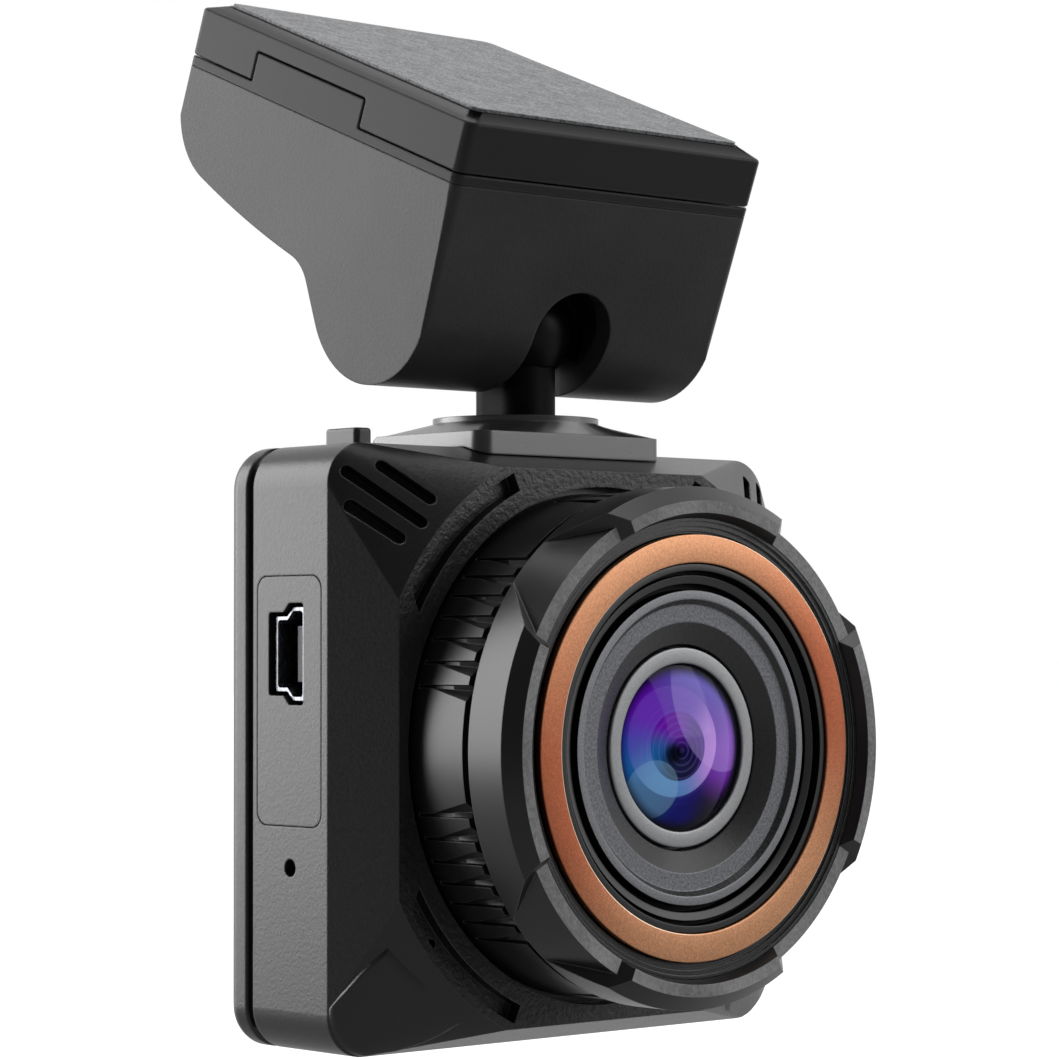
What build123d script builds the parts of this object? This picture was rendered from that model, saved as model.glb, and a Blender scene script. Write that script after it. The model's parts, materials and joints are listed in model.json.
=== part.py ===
from build123d import *
import os
from math import cos, hypot, radians, sin, sqrt

# Dash camera that hangs from a windscreen bracket.  Millimetres, +Z up, the lens looks along -Y.
# The origin is the middle of the adhesive pad's outer face, where the windscreen touches it.
# Three frames carry the sizes:
#   bracket frame: x across, v rearwards along the pad, n outwards from the pad (0 at its face)
#   camera frame:  x across, z up from the barrel axis, depth from the case seam towards the lens
#   barrel frame:  radius from the barrel axis, depth as in the camera frame

# ---------------------------------------------------------------- driving sizes: bracket
RAKE = 21.6                # lean of the pad against the level, about X
PAD_WIDTH = 30.4
PAD_LENGTH = 35.9
PAD_THICKNESS = 0.8
PAD_PROUD = 0.25           # how far the pad stands out of the base
BASE_WIDTH = 33.86
BASE_LENGTH = 39.42
BASE_BEVEL = 0.75          # height of the bevel round the pad
BASE_BOTTOM = 5.2          # depth of the base's lower edge below the pad face
BASE_WALL = 1.6
BASE_CORNER = 0.9
RAIL_WIDTH = 15.7          # sideways rail on the lid, seen end-on in the base's side
RAIL_OFFSET = 2.15         # rail centre, rearwards of the pad centre
RAIL_TOP = 2.75
RAIL_HEAD = 1.35           # height of the rail's wide head
RAIL_LIP = 0.9             # how far the head stands over the neck on each side
RAIL_GAP = 0.12
LID_GAP = 0.1              # seam between base and lid
LID_BOTTOM = 6.2
HOUSING_DEPTH = 25.45      # deepest point of the housing below the pad face
HOUSING_WALL = 1.8
HOUSING_REAR_RISE = 11.75  # underside of the shallow rear half, above the deepest point
HOUSING_REAR_BULGE = 0.6   # how far that underside bows down
HOUSING_STEP_RISE = 7.35   # where the rear half turns down to the ball pocket
HOUSING_STEP_AHEAD = 2.2
HOUSING_CHIN_AHEAD = 8.1
HOUSING_REAR_RADIUS = 7.0
HOUSING_STEP_RADIUS = 4.0
HOUSING_CHIN_RADIUS = 8.0
HOUSING_NOSE_RADIUS = 7.7
HOUSING_DRAFT = 0.6        # how much each side leans in down to the bottom
POST_RADIUS = 2.2
POST_INSET = 3.6           # screw posts, from the housing's outside
LID_SCREW_RADIUS = 0.8
LID_SCREW_HEAD = 1.5

# ---------------------------------------------------------------- driving sizes: ball joint and arm
BALL_AHEAD = 12.41         # ball centre, forwards of the pad centre
BALL_RISE = 5.79           # ball centre, above the housing's deepest point
BALL_RADIUS = 5.0
BALL_GAP = 0.06            # running clearance all round the ball
CUP_WALL = 0.9
CUP_HALF_ANGLE = 52.0
CUP_LEAN = 50.0            # the cup's middle, above straight back
SLOT_HALF_WIDTH = 4.3      # arched slot that lets the arm swing
SLOT_RISE = 1.16           # centre of the arch above the ball centre
SLOT_BACK = 6.0            # rear end of the slot behind the ball centre
CLAMP_HALF_WIDTH = 9.5
CLAMP_TOP = 7.6            # above the ball centre
CLAMP_SEAT = 1.7           # seam between clamp and pocket, below the ball centre
CLAMP_REAR = 8.0
CLAMP_SCREW_RADIUS = 0.9
ARM_LENGTH = 11.0          # ball centre above the case top
ARM_WIDTH = 5.4
ARM_DEPTH = 7.1
ARM_CORNER = 2.27
STUD_RADIUS = 1.5
STUD_TOP = 2.2             # above the ball centre

# ---------------------------------------------------------------- driving sizes: mount shoe
SHOE_AHEAD = 4.45          # shoe and arm centre, ahead of the case seam
SHOE_WIDTH = 21.0
SHOE_LENGTH = 15.1
SHOE_CORNER = 1.3
SHOE_LIFT = 0.08           # running gap between shoe and case top
SHOE_EDGE = 1.4            # height of the shoe's upright edge above the case top
SHOE_RISE = 2.5            # height of the collar's foot above the case top
SHOE_SCREW_RADIUS = 1.2
SHOE_SCREW_HEAD = 2.2
SHOE_SCREW_SINK = 1.26     # depth of the recess for the screw's head
SHOE_SCREW_HEAD_HEIGHT = 1.08
COLLAR_DISC_RADIUS = 7.2
COLLAR_DISC_TOP = 3.0
TEE_NECK = 5.2
TEE_HEAD = 7.2
TEE_HEAD_HEIGHT = 1.8
TEE_GAP = 0.12
TEE_LENGTH = 19.0

# ---------------------------------------------------------------- driving sizes: camera case
CASE_WIDTH = 50.2
CASE_HEIGHT = 50.0
CASE_CORNER = 3.6
CASE_WALL = 1.6
SHELL_DEPTH = 9.8          # straight sides of the front shell
NOSE_DEPTH = 16.0          # flat face of the collar
NOSE_WIDTH = 45.4
NOSE_HEIGHT = 46.2
NOSE_RADIUS = 25.7
NOSE_WALL = 1.8
BARREL_HOLE = 21.75
SEAM_WIDTH = 0.8
SEAM_INSET = 0.6
SEAM_GAP = 0.05
COVER_DEPTH = 3.69         # back face of the rear cover behind the seam
COVER_ROUND = 1.5
COVER_WALL = 1.5
ARC_OUTER = 24.9           # curved slots in the collar's four corners
ARC_INNER = 23.3
ARC_INNER_FROM = 28.0      # degrees above the level
ARC_OUTER_FROM = 31.0
ARC_TO = 65.3
ARC_DEPTH = 1.2
SOUND_HOLE_RADIUS = 0.4    # microphone hole in the floor of the lower left slot
SOUND_HOLE_ANGLE = 40.7
VENT_WIDTH = 1.1
VENT_PITCH = 2.25
VENT_LONG = 8.4
VENT_SHORT = 5.85
VENT_SHIFT = 0.65          # the short vents' middles, down the slope from the long one's
VENT_ASIDE = 0.86          # towards the case side from the facet's middle
VENT_DEPTH = 1.1
VENT_BACKING = 2.1         # local thickening of the wall behind the vents

# ---------------------------------------------------------------- driving sizes: barrel and lens
RIB_RADIUS = 21.2
RIB_FRONT = 22.0
RIB_WALL = 1.7
RIB_FLANGE = 21.98
RIB_HANDS = (1, -1, -1, 1, 1, -1)   # per group: side of its line that each facet lies on
RIBS_PER_GROUP = 7
RIB_PITCH = 5.45
RIB_GROUP_ANGLE = 30.0
RIB_CUT_WIDTH = 1.03       # width of each rib's slanting facet at its front end
RIB_CUT_DEPTH = 0.95
RIB_CUT_LENGTH = 4.4
RIB_LINE_WIDTH = 0.3
RIB_LINE_DEPTH = 0.35
GROOVE_RADIUS = 20.5
BEZEL_BACK = 22.95
BEZEL_RADIUS = 21.45
BEZEL_EDGE = 26.9
BEZEL_FRONT = 28.1
BEZEL_LAND_OUTER = 20.26
BEZEL_LAND_INNER = 19.25
BEZEL_BORE = 18.9
BEZEL_LOW_FRONT = 27.06
BEZEL_LOW_RADIUS = 20.15
RECESS_ANGLE_BACK = 6.0    # half-angle of each diagonal recess at the groove
RECESS_ANGLE_LOW = 17.6
RECESS_ANGLE_FRONT = 20.0
RING_FIT = 0.05
STEP_RING_BACK = 25.2
COPPER_OUTER = 17.53
COPPER_INNER = 15.18
COPPER_FRONT = 27.15
COPPER_THICKNESS = 0.6
COPPER_CHAMFER = 0.08
STEP_OUTER_DROP = 0.05     # the fine steps fall from just below the bezel to this much lower
STEP_INNER_DROP = 0.45
SURROUND_OUTER = 15.1
SURROUND_FRONT = 26.9
SURROUND_LIP = 0.25
CHANNEL_FLOOR = 25.3
CHANNEL_INNER = 12.94
LEDGE_OUTER = 12.2
LEDGE_FRONT = 26.4
PLATEAU_OUTER = 11.77
PLATEAU_INNER = 10.33
PLATEAU_FRONT = 25.9
LENS_WELL = 8.7
LENS_FRONT = 25.2
SURROUND_BACK = 23.6
SURROUND_FLANGE = 1.0
LENS_RING_OUTER = 8.25
GLASS_RADIUS = 6.86
GLASS_SAG = 1.5
GLASS_BACK_SAG = 0.9
GLASS_EDGE = 24.9
GLASS_SEAT = 0.6           # width of the ledge that each glass rests on
RING_DROP = 1.0            # seat of the lens ring below its front
RING_CHAMFER = 0.15
MIDDLE_LENS_AHEAD = 2.6    # front edge, ahead of the tube's step
MIDDLE_LENS_SAG = 0.8
MIDDLE_LENS_BACK_SAG = 0.4
MIDDLE_LENS_EDGE = 1.55
REAR_LENS_AHEAD = 3.0      # front edge, ahead of the tube's back
REAR_LENS_SAG = 0.9
REAR_LENS_BACK_SAG = -0.5
REAR_LENS_EDGE = 1.6
LENS_TUBE_RADIUS = 6.0
LENS_TUBE_WALL = 0.9
LENS_HEAD_BACK = 18.0
LENS_TUBE_BACK = 7.6
HOLDER_SIZE = 16.0
HOLDER_FRONT = 13.0

# ---------------------------------------------------------------- driving sizes: controls and electronics
PCB_FRONT = 2.1
PCB_THICKNESS = 1.0
BOARD_SIDE_GAP = 1.0       # main board to the case wall
BOARD_TOP_GAP = 0.76
BOARD_BOTTOM_GAP = 0.8
PANEL_FROM = 0.6           # side panel, ahead of the seam
PANEL_TO = 9.0
PANEL_LOW = -6.3
PANEL_HIGH = 14.1
PANEL_CORNER = 1.2
PANEL_THICKNESS = 0.8
PANEL_GAP = 0.08
USB_DEPTH = 4.39           # centre of the inlet ahead of the seam
USB_HEIGHT = 7.74          # centre of the inlet above the barrel axis
USB_WIDTH = 7.7
USB_THICK = 3.95
USB_CLEAR = 0.33          # between the metal shell and the cut-out round it
USB_STEP = 0.75
USB_ROUND = 0.3
USB_SHEET = 0.35
USB_TONGUE_WIDTH = 4.6
USB_TONGUE_THICK = 1.0
USB_PIN_PITCH = 0.8
USB_LENGTH = 9.0
USB_RECESS = 0.45
RESET_DEPTH = 4.96
RESET_HEIGHT = -9.74
RESET_HOLE = 0.5
POWER_INSET = 6.5          # top button, from the case side
POWER_LENGTH = 4.3
POWER_WIDTH = 1.8
POWER_RISE = 1.5
BUTTON_GAP = 0.15
BUTTON_FLANGE = 0.6
BUTTON_TRAVEL = 0.4
SCREEN_SIDE = 3.1          # screen window to the case side
SCREEN_ABOVE = 2.3         # screen window to the case top
SCREEN_BELOW = 6.7         # screen window to the row of keys
SCREEN_GLASS = 0.9
SCREEN_LEDGE = 1.4
DISPLAY_THICKNESS = 2.0
KEY_RISE_ROW = 7.6         # row of keys above the case bottom
KEY_MARGIN = 11.0          # outer keys to the case side
KEY_SPACE = 2.4            # between two keys
KEY_COUNT = 4
KEY_HEIGHT = 4.2
KEY_RISE = 0.4
CARD_WIDTH = 11.0
CARD_LENGTH = 15.0
CARD_THICKNESS = 0.8
CARD_HEIGHT = -2.0
CARD_DEPTH = 3.3
CARD_PROUD = 0.3
CASE_SCREW_INSET = 4.6
CASE_SCREW_RADIUS = 0.9
CASE_SCREW_HEAD = 1.7
CASE_SCREW_BOSS = 2.1
BOARD_SCREW_DROP = 10.0    # upper board screws, below the case top
SCREW_BITE = 6.0
SCREW_SHORT = 1.0          # clear space left below a screw's tip
BUTTON_ROUND = 0.5
CARD_GAP = 0.2
SPEAKER_ACROSS = 8.0
SPEAKER_DEPTH = 5.6
SPEAKER_WIDTH = 12.0
SPEAKER_LENGTH = 6.0
SPEAKER_THICKNESS = 3.0
SPEAKER_HOLE_PITCH = 2.0
SPEAKER_HOLES_ACROSS = 4
SPEAKER_HOLES_DEEP = 2
SENSOR_BOARD_SIZE = 16.0
SENSOR_BOARD_BACK = 3.3
SENSOR_BOARD_THICKNESS = 0.8
SENSOR_WIDTH = 8.0
SENSOR_HEIGHT = 6.5
SENSOR_THICKNESS = 1.0
FILTER_SIZE = 8.8
FILTER_THICKNESS = 0.4
FILTER_FRONT = 6.9
FILTER_APERTURE = 4.0
BATTERY_WIDTH = 20.0
BATTERY_HEIGHT = 8.6
BATTERY_THICKNESS = 4.5
BATTERY_LIFT = 9.4         # middle of the cell above the case bottom
BATTERY_CORNER = 1.0
CHIP_SIZE = 10.0
CHIP_THICKNESS = 1.1
CHIP_PLACE = (12.4, 12.2)
MICROPHONE_RADIUS = 2.2
MICROPHONE_HEIGHT = 2.0
MICROPHONE_PLACE = (-17.0, -14.0)
SLOT_BODY_WIDTH = 14.0
SLOT_BODY_THICKNESS = 2.0
SLOT_BACK_WALL = 1.0
FRAME_GAP = 0.8            # display frame to the case screws' heads
FRAME_WALL = 1.5
SWITCH_SIZE = 4.0
SWITCH_GAP = 0.1
RESET_SWITCH_LENGTH = 3.0

# ---------------------------------------------------------------- frames
v_axis = Vector(0, cos(radians(RAKE)), sin(radians(RAKE)))
n_axis = Vector(0, -sin(radians(RAKE)), cos(radians(RAKE)))
pad_plane = Plane(origin=(0, 0, 0), x_dir=(1, 0, 0), z_dir=n_axis)            # x, v
bracket_side = Plane(origin=(0, 0, 0), x_dir=v_axis, z_dir=(1, 0, 0))          # v, n
bracket_front = Plane(origin=(0, 0, 0), x_dir=(1, 0, 0), z_dir=v_axis * -1)    # x, n
ball_depth = HOUSING_DEPTH - BALL_RISE
ball_centre = v_axis * -BALL_AHEAD + n_axis * -ball_depth
ball_plane = Plane(origin=ball_centre, x_dir=(1, 0, 0), z_dir=n_axis)          # x, v about the ball
ball_side = Plane(origin=ball_centre, x_dir=v_axis, z_dir=(1, 0, 0))           # v, n about the ball

case_top = CASE_HEIGHT / 2
case_origin = ball_centre + Vector(0, SHOE_AHEAD, -case_top - ARM_LENGTH)
camera = Plane(origin=case_origin, x_dir=(1, 0, 0), z_dir=(0, -1, 0))          # x, z
barrel_section = Plane(origin=case_origin, x_dir=(1, 0, 0), z_dir=(0, 0, -1))  # radius, depth
barrel_axis = Axis(case_origin, (0, -1, 0))
left_plane = Plane(origin=case_origin, x_dir=(0, -1, 0), z_dir=(-1, 0, 0))     # depth, z
level = Plane(origin=case_origin, x_dir=(1, 0, 0), z_dir=(0, 0, 1))            # x, -depth
rear = Plane(origin=case_origin, x_dir=(-1, 0, 0), z_dir=(0, 1, 0))            # -x, z; offset = -depth


def save(name, builder):
    """Label one finished piece and write it to its own file."""
    builder.part.label = name
    export_step(builder.part, f"parts/{name}.step")


def turned(points):
    """A ring or disc turned about the barrel axis from a (radius, depth) outline."""
    with BuildPart() as ring:
        with BuildSketch(barrel_section):
            with BuildLine():
                Polyline(*points, close=True)
            make_face()
        revolve(axis=barrel_axis)
    return ring


def block(plane, width, height, low, high, centre=(0, 0), radius=0.0):
    """A straight block on a plane, from one offset to another."""
    with BuildPart() as box:
        with BuildSketch(plane.offset(low)):
            with Locations(centre):
                if radius:
                    RectangleRounded(width, height, radius)
                else:
                    Rectangle(width, height)
        extrude(amount=high - low)
    return box


os.makedirs("parts", exist_ok=True)

# ================================================================ windscreen base
rail_neck_width = RAIL_WIDTH - 2 * RAIL_LIP
rail_head_bottom = RAIL_TOP + RAIL_HEAD

with BuildPart() as adhesive_pad:
    with BuildSketch(pad_plane.offset(-PAD_THICKNESS)):
        RectangleRounded(PAD_WIDTH, PAD_LENGTH, BASE_CORNER)
    extrude(amount=PAD_THICKNESS)

with BuildPart() as adhesive_base:
    with BuildSketch(pad_plane.offset(-BASE_BOTTOM)):
        RectangleRounded(BASE_WIDTH, BASE_LENGTH, BASE_CORNER)
    extrude(amount=BASE_BOTTOM - PAD_PROUD - BASE_BEVEL)
    with BuildSketch(pad_plane.offset(-PAD_PROUD - BASE_BEVEL)):
        RectangleRounded(BASE_WIDTH, BASE_LENGTH, BASE_CORNER)
    with BuildSketch(pad_plane.offset(-PAD_PROUD)):
        RectangleRounded(PAD_WIDTH + 2 * PANEL_GAP, PAD_LENGTH + 2 * PANEL_GAP, BASE_CORNER)
    loft(ruled=True)
    # bed of the pad
    with BuildSketch(pad_plane.offset(-PAD_THICKNESS)):
        RectangleRounded(PAD_WIDTH + PANEL_GAP, PAD_LENGTH + PANEL_GAP, BASE_CORNER)
    extrude(amount=PAD_THICKNESS, mode=Mode.SUBTRACT)
    # channel for the rail, open through the left side
    with BuildSketch(bracket_side.offset(-BASE_WIDTH / 2)):
        head_height = RAIL_HEAD + 2 * RAIL_GAP
        with Locations((RAIL_OFFSET, -RAIL_TOP + RAIL_GAP)):
            Rectangle(RAIL_WIDTH + 2 * RAIL_GAP, head_height, align=(Align.CENTER, Align.MAX))
        with Locations((RAIL_OFFSET, -RAIL_TOP)):
            Rectangle(rail_neck_width + 2 * RAIL_GAP, BASE_BOTTOM, align=(Align.CENTER, Align.MAX))
    extrude(amount=BASE_WIDTH - BASE_WALL, mode=Mode.SUBTRACT)
    with BuildSketch(bracket_side.offset(-BASE_WIDTH / 2)):
        with Locations((RAIL_OFFSET, -RAIL_TOP + RAIL_GAP)):
            Rectangle(RAIL_WIDTH + 2 * RAIL_GAP, BASE_BOTTOM, align=(Align.CENTER, Align.MAX))
    extrude(amount=BASE_WALL, mode=Mode.SUBTRACT)
    # moulded pockets fore and aft of the channel
    for end in (-1, 1):
        rail_edge = RAIL_OFFSET + end * (RAIL_WIDTH / 2 + RAIL_GAP + BASE_WALL)
        base_edge = end * (BASE_LENGTH / 2 - BASE_WALL)
        with BuildSketch(pad_plane.offset(-BASE_BOTTOM)):
            with Locations((0, (rail_edge + base_edge) / 2)):
                Rectangle(BASE_WIDTH - 2 * BASE_WALL, abs(base_edge - rail_edge))
        extrude(amount=BASE_BOTTOM - PAD_THICKNESS - BASE_WALL, mode=Mode.SUBTRACT)

# ================================================================ bracket
lid_top = BASE_BOTTOM + LID_GAP
post_places = [
    (side * (BASE_WIDTH / 2 - POST_INSET), end * (BASE_LENGTH / 2 - POST_INSET))
    for side in (-1, 1)
    for end in (-1, 1)
]

with BuildPart() as bracket_lid:
    with BuildSketch(pad_plane.offset(-LID_BOTTOM)):
        RectangleRounded(BASE_WIDTH, BASE_LENGTH, BASE_CORNER)
    extrude(amount=LID_BOTTOM - lid_top)
    with BuildSketch(bracket_side.offset(-BASE_WIDTH / 2)):
        with Locations((RAIL_OFFSET, -RAIL_TOP)):
            Rectangle(RAIL_WIDTH, RAIL_HEAD, align=(Align.CENTER, Align.MAX))
            Rectangle(rail_neck_width, lid_top - RAIL_TOP, align=(Align.CENTER, Align.MAX))
    extrude(amount=BASE_WIDTH - BASE_WALL - RAIL_GAP)
    # plain end of the rail, flush with the base's side
    with BuildSketch(bracket_side.offset(-BASE_WIDTH / 2)):
        with Locations((RAIL_OFFSET, -RAIL_TOP)):
            Rectangle(RAIL_WIDTH, lid_top - RAIL_TOP, align=(Align.CENTER, Align.MAX))
    extrude(amount=BASE_WALL - RAIL_GAP)
    with BuildSketch(pad_plane.offset(-lid_top)):
        with Locations(*post_places):
            Circle(LID_SCREW_HEAD + BALL_GAP)
    extrude(amount=-(LID_BOTTOM - lid_top) / 2, mode=Mode.SUBTRACT)
    with BuildSketch(pad_plane.offset(-lid_top)):
        with Locations(*post_places):
            Circle(LID_SCREW_RADIUS + BALL_GAP)
    extrude(amount=lid_top - LID_BOTTOM, mode=Mode.SUBTRACT)


def housing_form(inset, top):
    """The housing's outer form, moved inwards by inset, up to a given depth below the pad."""
    end = BASE_LENGTH / 2
    half = BASE_WIDTH / 2
    step = (-HOUSING_STEP_AHEAD, HOUSING_STEP_RISE - HOUSING_DEPTH)
    chin = (-HOUSING_CHIN_AHEAD, -HOUSING_DEPTH)
    back = (end, HOUSING_REAR_RISE - HOUSING_DEPTH)
    bow = ((back[0] + step[0]) / 2, (back[1] + step[1]) / 2 - HOUSING_REAR_BULGE)
    with BuildPart() as form:
        with BuildSketch(bracket_side) as side:
            with BuildLine():
                Line((end, 0), back)
                ThreePointArc(back, bow, step)
                Polyline(step, chin, (-end, -HOUSING_DEPTH), (-end, 0), (end, 0))
            make_face()
            for place, radius in (
                (back, HOUSING_REAR_RADIUS),
                (step, HOUSING_STEP_RADIUS),
                (chin, HOUSING_CHIN_RADIUS),
                ((-end, -HOUSING_DEPTH), HOUSING_NOSE_RADIUS),
            ):
                corner = side.vertices().sort_by_distance(place)[0]
                fillet(corner, radius)
            if inset:
                offset(amount=-inset, mode=Mode.REPLACE)
        extrude(amount=half, both=True)
        with BuildSketch(bracket_front):
            with BuildLine():
                Polyline(
                    (inset - half, 0),
                    (inset - half, -LID_BOTTOM),
                    (inset - half + HOUSING_DRAFT, -HOUSING_DEPTH),
                    (half - inset - HOUSING_DRAFT, -HOUSING_DEPTH),
                    (half - inset, -LID_BOTTOM),
                    (half - inset, 0),
                    close=True,
                )
            make_face()
        extrude(amount=BASE_LENGTH, both=True, mode=Mode.INTERSECT)
        with BuildSketch(pad_plane.offset(-HOUSING_DEPTH)):
            RectangleRounded(BASE_WIDTH - 2 * inset, BASE_LENGTH - 2 * inset, BASE_CORNER)
        extrude(amount=HOUSING_DEPTH, mode=Mode.INTERSECT)
        split(bisect_by=pad_plane.offset(-top), keep=Keep.BOTTOM)
    return form


housing_outer = housing_form(0, LID_BOTTOM)
housing_cavity = housing_form(HOUSING_WALL, LID_BOTTOM)
cup_inner = BALL_RADIUS + BALL_GAP
cup_outer = cup_inner + CUP_WALL
clamp_screw_places = [(side * (cup_outer + CLAMP_HALF_WIDTH) / 2, 0) for side in (-1, 1)]
clamp_screw_reach = CLAMP_SEAT + HOUSING_WALL
clamp_front = BASE_LENGTH / 2 - BALL_AHEAD - HOUSING_WALL


def arm_slot(plane_from, plane_to):
    """The arched slot that the arm swings in, cut from one offset ahead of the ball to another."""
    slot_plane = Plane(origin=ball_centre, x_dir=(1, 0, 0), z_dir=v_axis * -1)
    with BuildPart() as slot:
        with BuildSketch(slot_plane.offset(plane_from)):
            with Locations((0, SLOT_RISE)):
                Circle(SLOT_HALF_WIDTH)
                Rectangle(2 * SLOT_HALF_WIDTH, HOUSING_DEPTH, align=(Align.CENTER, Align.MAX))
        extrude(amount=plane_to - plane_from)
    return slot


with BuildPart() as bracket_housing:
    add(housing_outer.part)
    add(housing_cavity.part, mode=Mode.SUBTRACT)
    # pocket that carries the ball, and the screw posts
    with BuildSketch(ball_plane.offset(-CLAMP_SEAT)):
        with Locations((0, (CLAMP_REAR - clamp_front - HOUSING_WALL / 2) / 2)):
            Rectangle(2 * CLAMP_HALF_WIDTH, CLAMP_REAR + clamp_front + HOUSING_WALL / 2)
    extrude(amount=-HOUSING_DEPTH)
    with BuildSketch(pad_plane.offset(-LID_BOTTOM)):
        with Locations(*post_places):
            Circle(POST_RADIUS)
    extrude(amount=-HOUSING_DEPTH)
    add(housing_outer.part, mode=Mode.INTERSECT)
    with Locations(Location(ball_centre)):
        Sphere(BALL_RADIUS + BALL_GAP, mode=Mode.SUBTRACT)
    add(arm_slot(-SLOT_BACK, BASE_LENGTH / 2).part, mode=Mode.SUBTRACT)
    with BuildSketch(pad_plane.offset(-LID_BOTTOM)):
        with Locations(*post_places):
            Circle(LID_SCREW_RADIUS)
    extrude(amount=-HOUSING_WALL * 3, mode=Mode.SUBTRACT)
    with BuildSketch(ball_plane.offset(-CLAMP_SEAT)):
        with Locations(*clamp_screw_places):
            Circle(CLAMP_SCREW_RADIUS)
    extrude(amount=-HOUSING_WALL, mode=Mode.SUBTRACT)

with BuildPart() as lid_screws:
    with BuildSketch(pad_plane.offset(-lid_top)):
        with Locations(*post_places):
            Circle(LID_SCREW_HEAD)
    extrude(amount=-(LID_BOTTOM - lid_top) / 2)
    with BuildSketch(pad_plane.offset(-lid_top)):
        with Locations(*post_places):
            Circle(LID_SCREW_RADIUS)
    extrude(amount=-HOUSING_WALL * 3)

# ================================================================ ball joint
with BuildPart() as socket_clamp:
    with BuildSketch(ball_plane.offset(-CLAMP_SEAT)):
        with Locations((0, (CLAMP_REAR - clamp_front + BALL_GAP) / 2)):
            Rectangle(2 * CLAMP_HALF_WIDTH, CLAMP_REAR + clamp_front - BALL_GAP)
    extrude(amount=CLAMP_SEAT + CLAMP_TOP)
    add(housing_form(HOUSING_WALL + BALL_GAP, LID_BOTTOM).part, mode=Mode.INTERSECT)
    with Locations(Location(ball_centre)):
        Sphere(cup_outer + BALL_GAP, mode=Mode.SUBTRACT)
    add(arm_slot(0, BASE_LENGTH / 2).part, mode=Mode.SUBTRACT)
    with BuildSketch(ball_plane.offset(CLAMP_TOP)):
        with Locations(*clamp_screw_places):
            Circle(CLAMP_SCREW_RADIUS)
    extrude(amount=-CLAMP_TOP - CLAMP_SEAT, mode=Mode.SUBTRACT)

with BuildPart() as clamp_screws:
    with BuildSketch(ball_plane.offset(CLAMP_TOP)):
        with Locations(*clamp_screw_places):
            Circle(2 * CLAMP_SCREW_RADIUS)
    extrude(amount=CLAMP_SCREW_RADIUS)
    with BuildSketch(ball_plane.offset(CLAMP_TOP)):
        with Locations(*clamp_screw_places):
            Circle(CLAMP_SCREW_RADIUS)
    extrude(amount=-CLAMP_TOP - clamp_screw_reach)

with BuildPart() as friction_cup:
    cup_axis = v_axis * cos(radians(CUP_LEAN)) + n_axis * sin(radians(CUP_LEAN))
    with BuildSketch(ball_side):
        with BuildLine():
            inner_arc = CenterArc((0, 0), cup_inner, CUP_LEAN, CUP_HALF_ANGLE)
            outer_arc = CenterArc((0, 0), cup_outer, CUP_LEAN, CUP_HALF_ANGLE)
            Line(inner_arc @ 0, outer_arc @ 0)
            Line(inner_arc @ 1, outer_arc @ 1)
        make_face()
    revolve(axis=Axis(ball_centre, cup_axis))

ball_height = case_top + ARM_LENGTH
disc_top = case_top + COLLAR_DISC_TOP

with BuildPart() as pivot_ball:
    with Locations(Location(ball_centre)):
        Sphere(BALL_RADIUS)
    with BuildSketch(level.offset(ball_height + STUD_TOP + RING_FIT)):
        with Locations((0, -SHOE_AHEAD)):
            Circle(STUD_RADIUS + RING_FIT)
    extrude(amount=-BALL_RADIUS * 2, mode=Mode.SUBTRACT)

# ================================================================ arm and mount shoe
shoe_front = SHOE_AHEAD + SHOE_LENGTH / 2
shoe_rear = SHOE_AHEAD - SHOE_LENGTH / 2
tee_shoulder = case_top - CASE_WALL - TEE_GAP
tee_bottom = tee_shoulder - TEE_HEAD_HEIGHT
shoe_screw_top = ball_height - BALL_RADIUS - 2 * BALL_GAP - STUD_RADIUS / 2


def slope_height(depth):
    """Height of the front shell's sloping top at a depth ahead of its straight side."""
    fall = (case_top - NOSE_HEIGHT / 2) / (NOSE_DEPTH - SHELL_DEPTH)
    return case_top - fall * max(depth - SHELL_DEPTH, 0)


with BuildPart() as arm_post:
    with BuildSketch(level.offset(disc_top)):
        with Locations((0, -SHOE_AHEAD)):
            RectangleRounded(ARM_WIDTH, ARM_DEPTH, ARM_CORNER)
    extrude(amount=ball_height - disc_top - STUD_RADIUS)
    with Locations(Location(ball_centre)):
        Sphere(BALL_RADIUS + BALL_GAP, mode=Mode.SUBTRACT)
    with BuildSketch(level.offset(ball_height + STUD_TOP)):
        with Locations((0, -SHOE_AHEAD)):
            Circle(STUD_RADIUS)
    extrude(amount=-STUD_TOP - BALL_RADIUS - STUD_RADIUS)
    with BuildSketch(level.offset(disc_top)):
        with Locations((0, -SHOE_AHEAD)):
            Circle(SHOE_SCREW_RADIUS)
    extrude(amount=shoe_screw_top - disc_top, mode=Mode.SUBTRACT)

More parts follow.
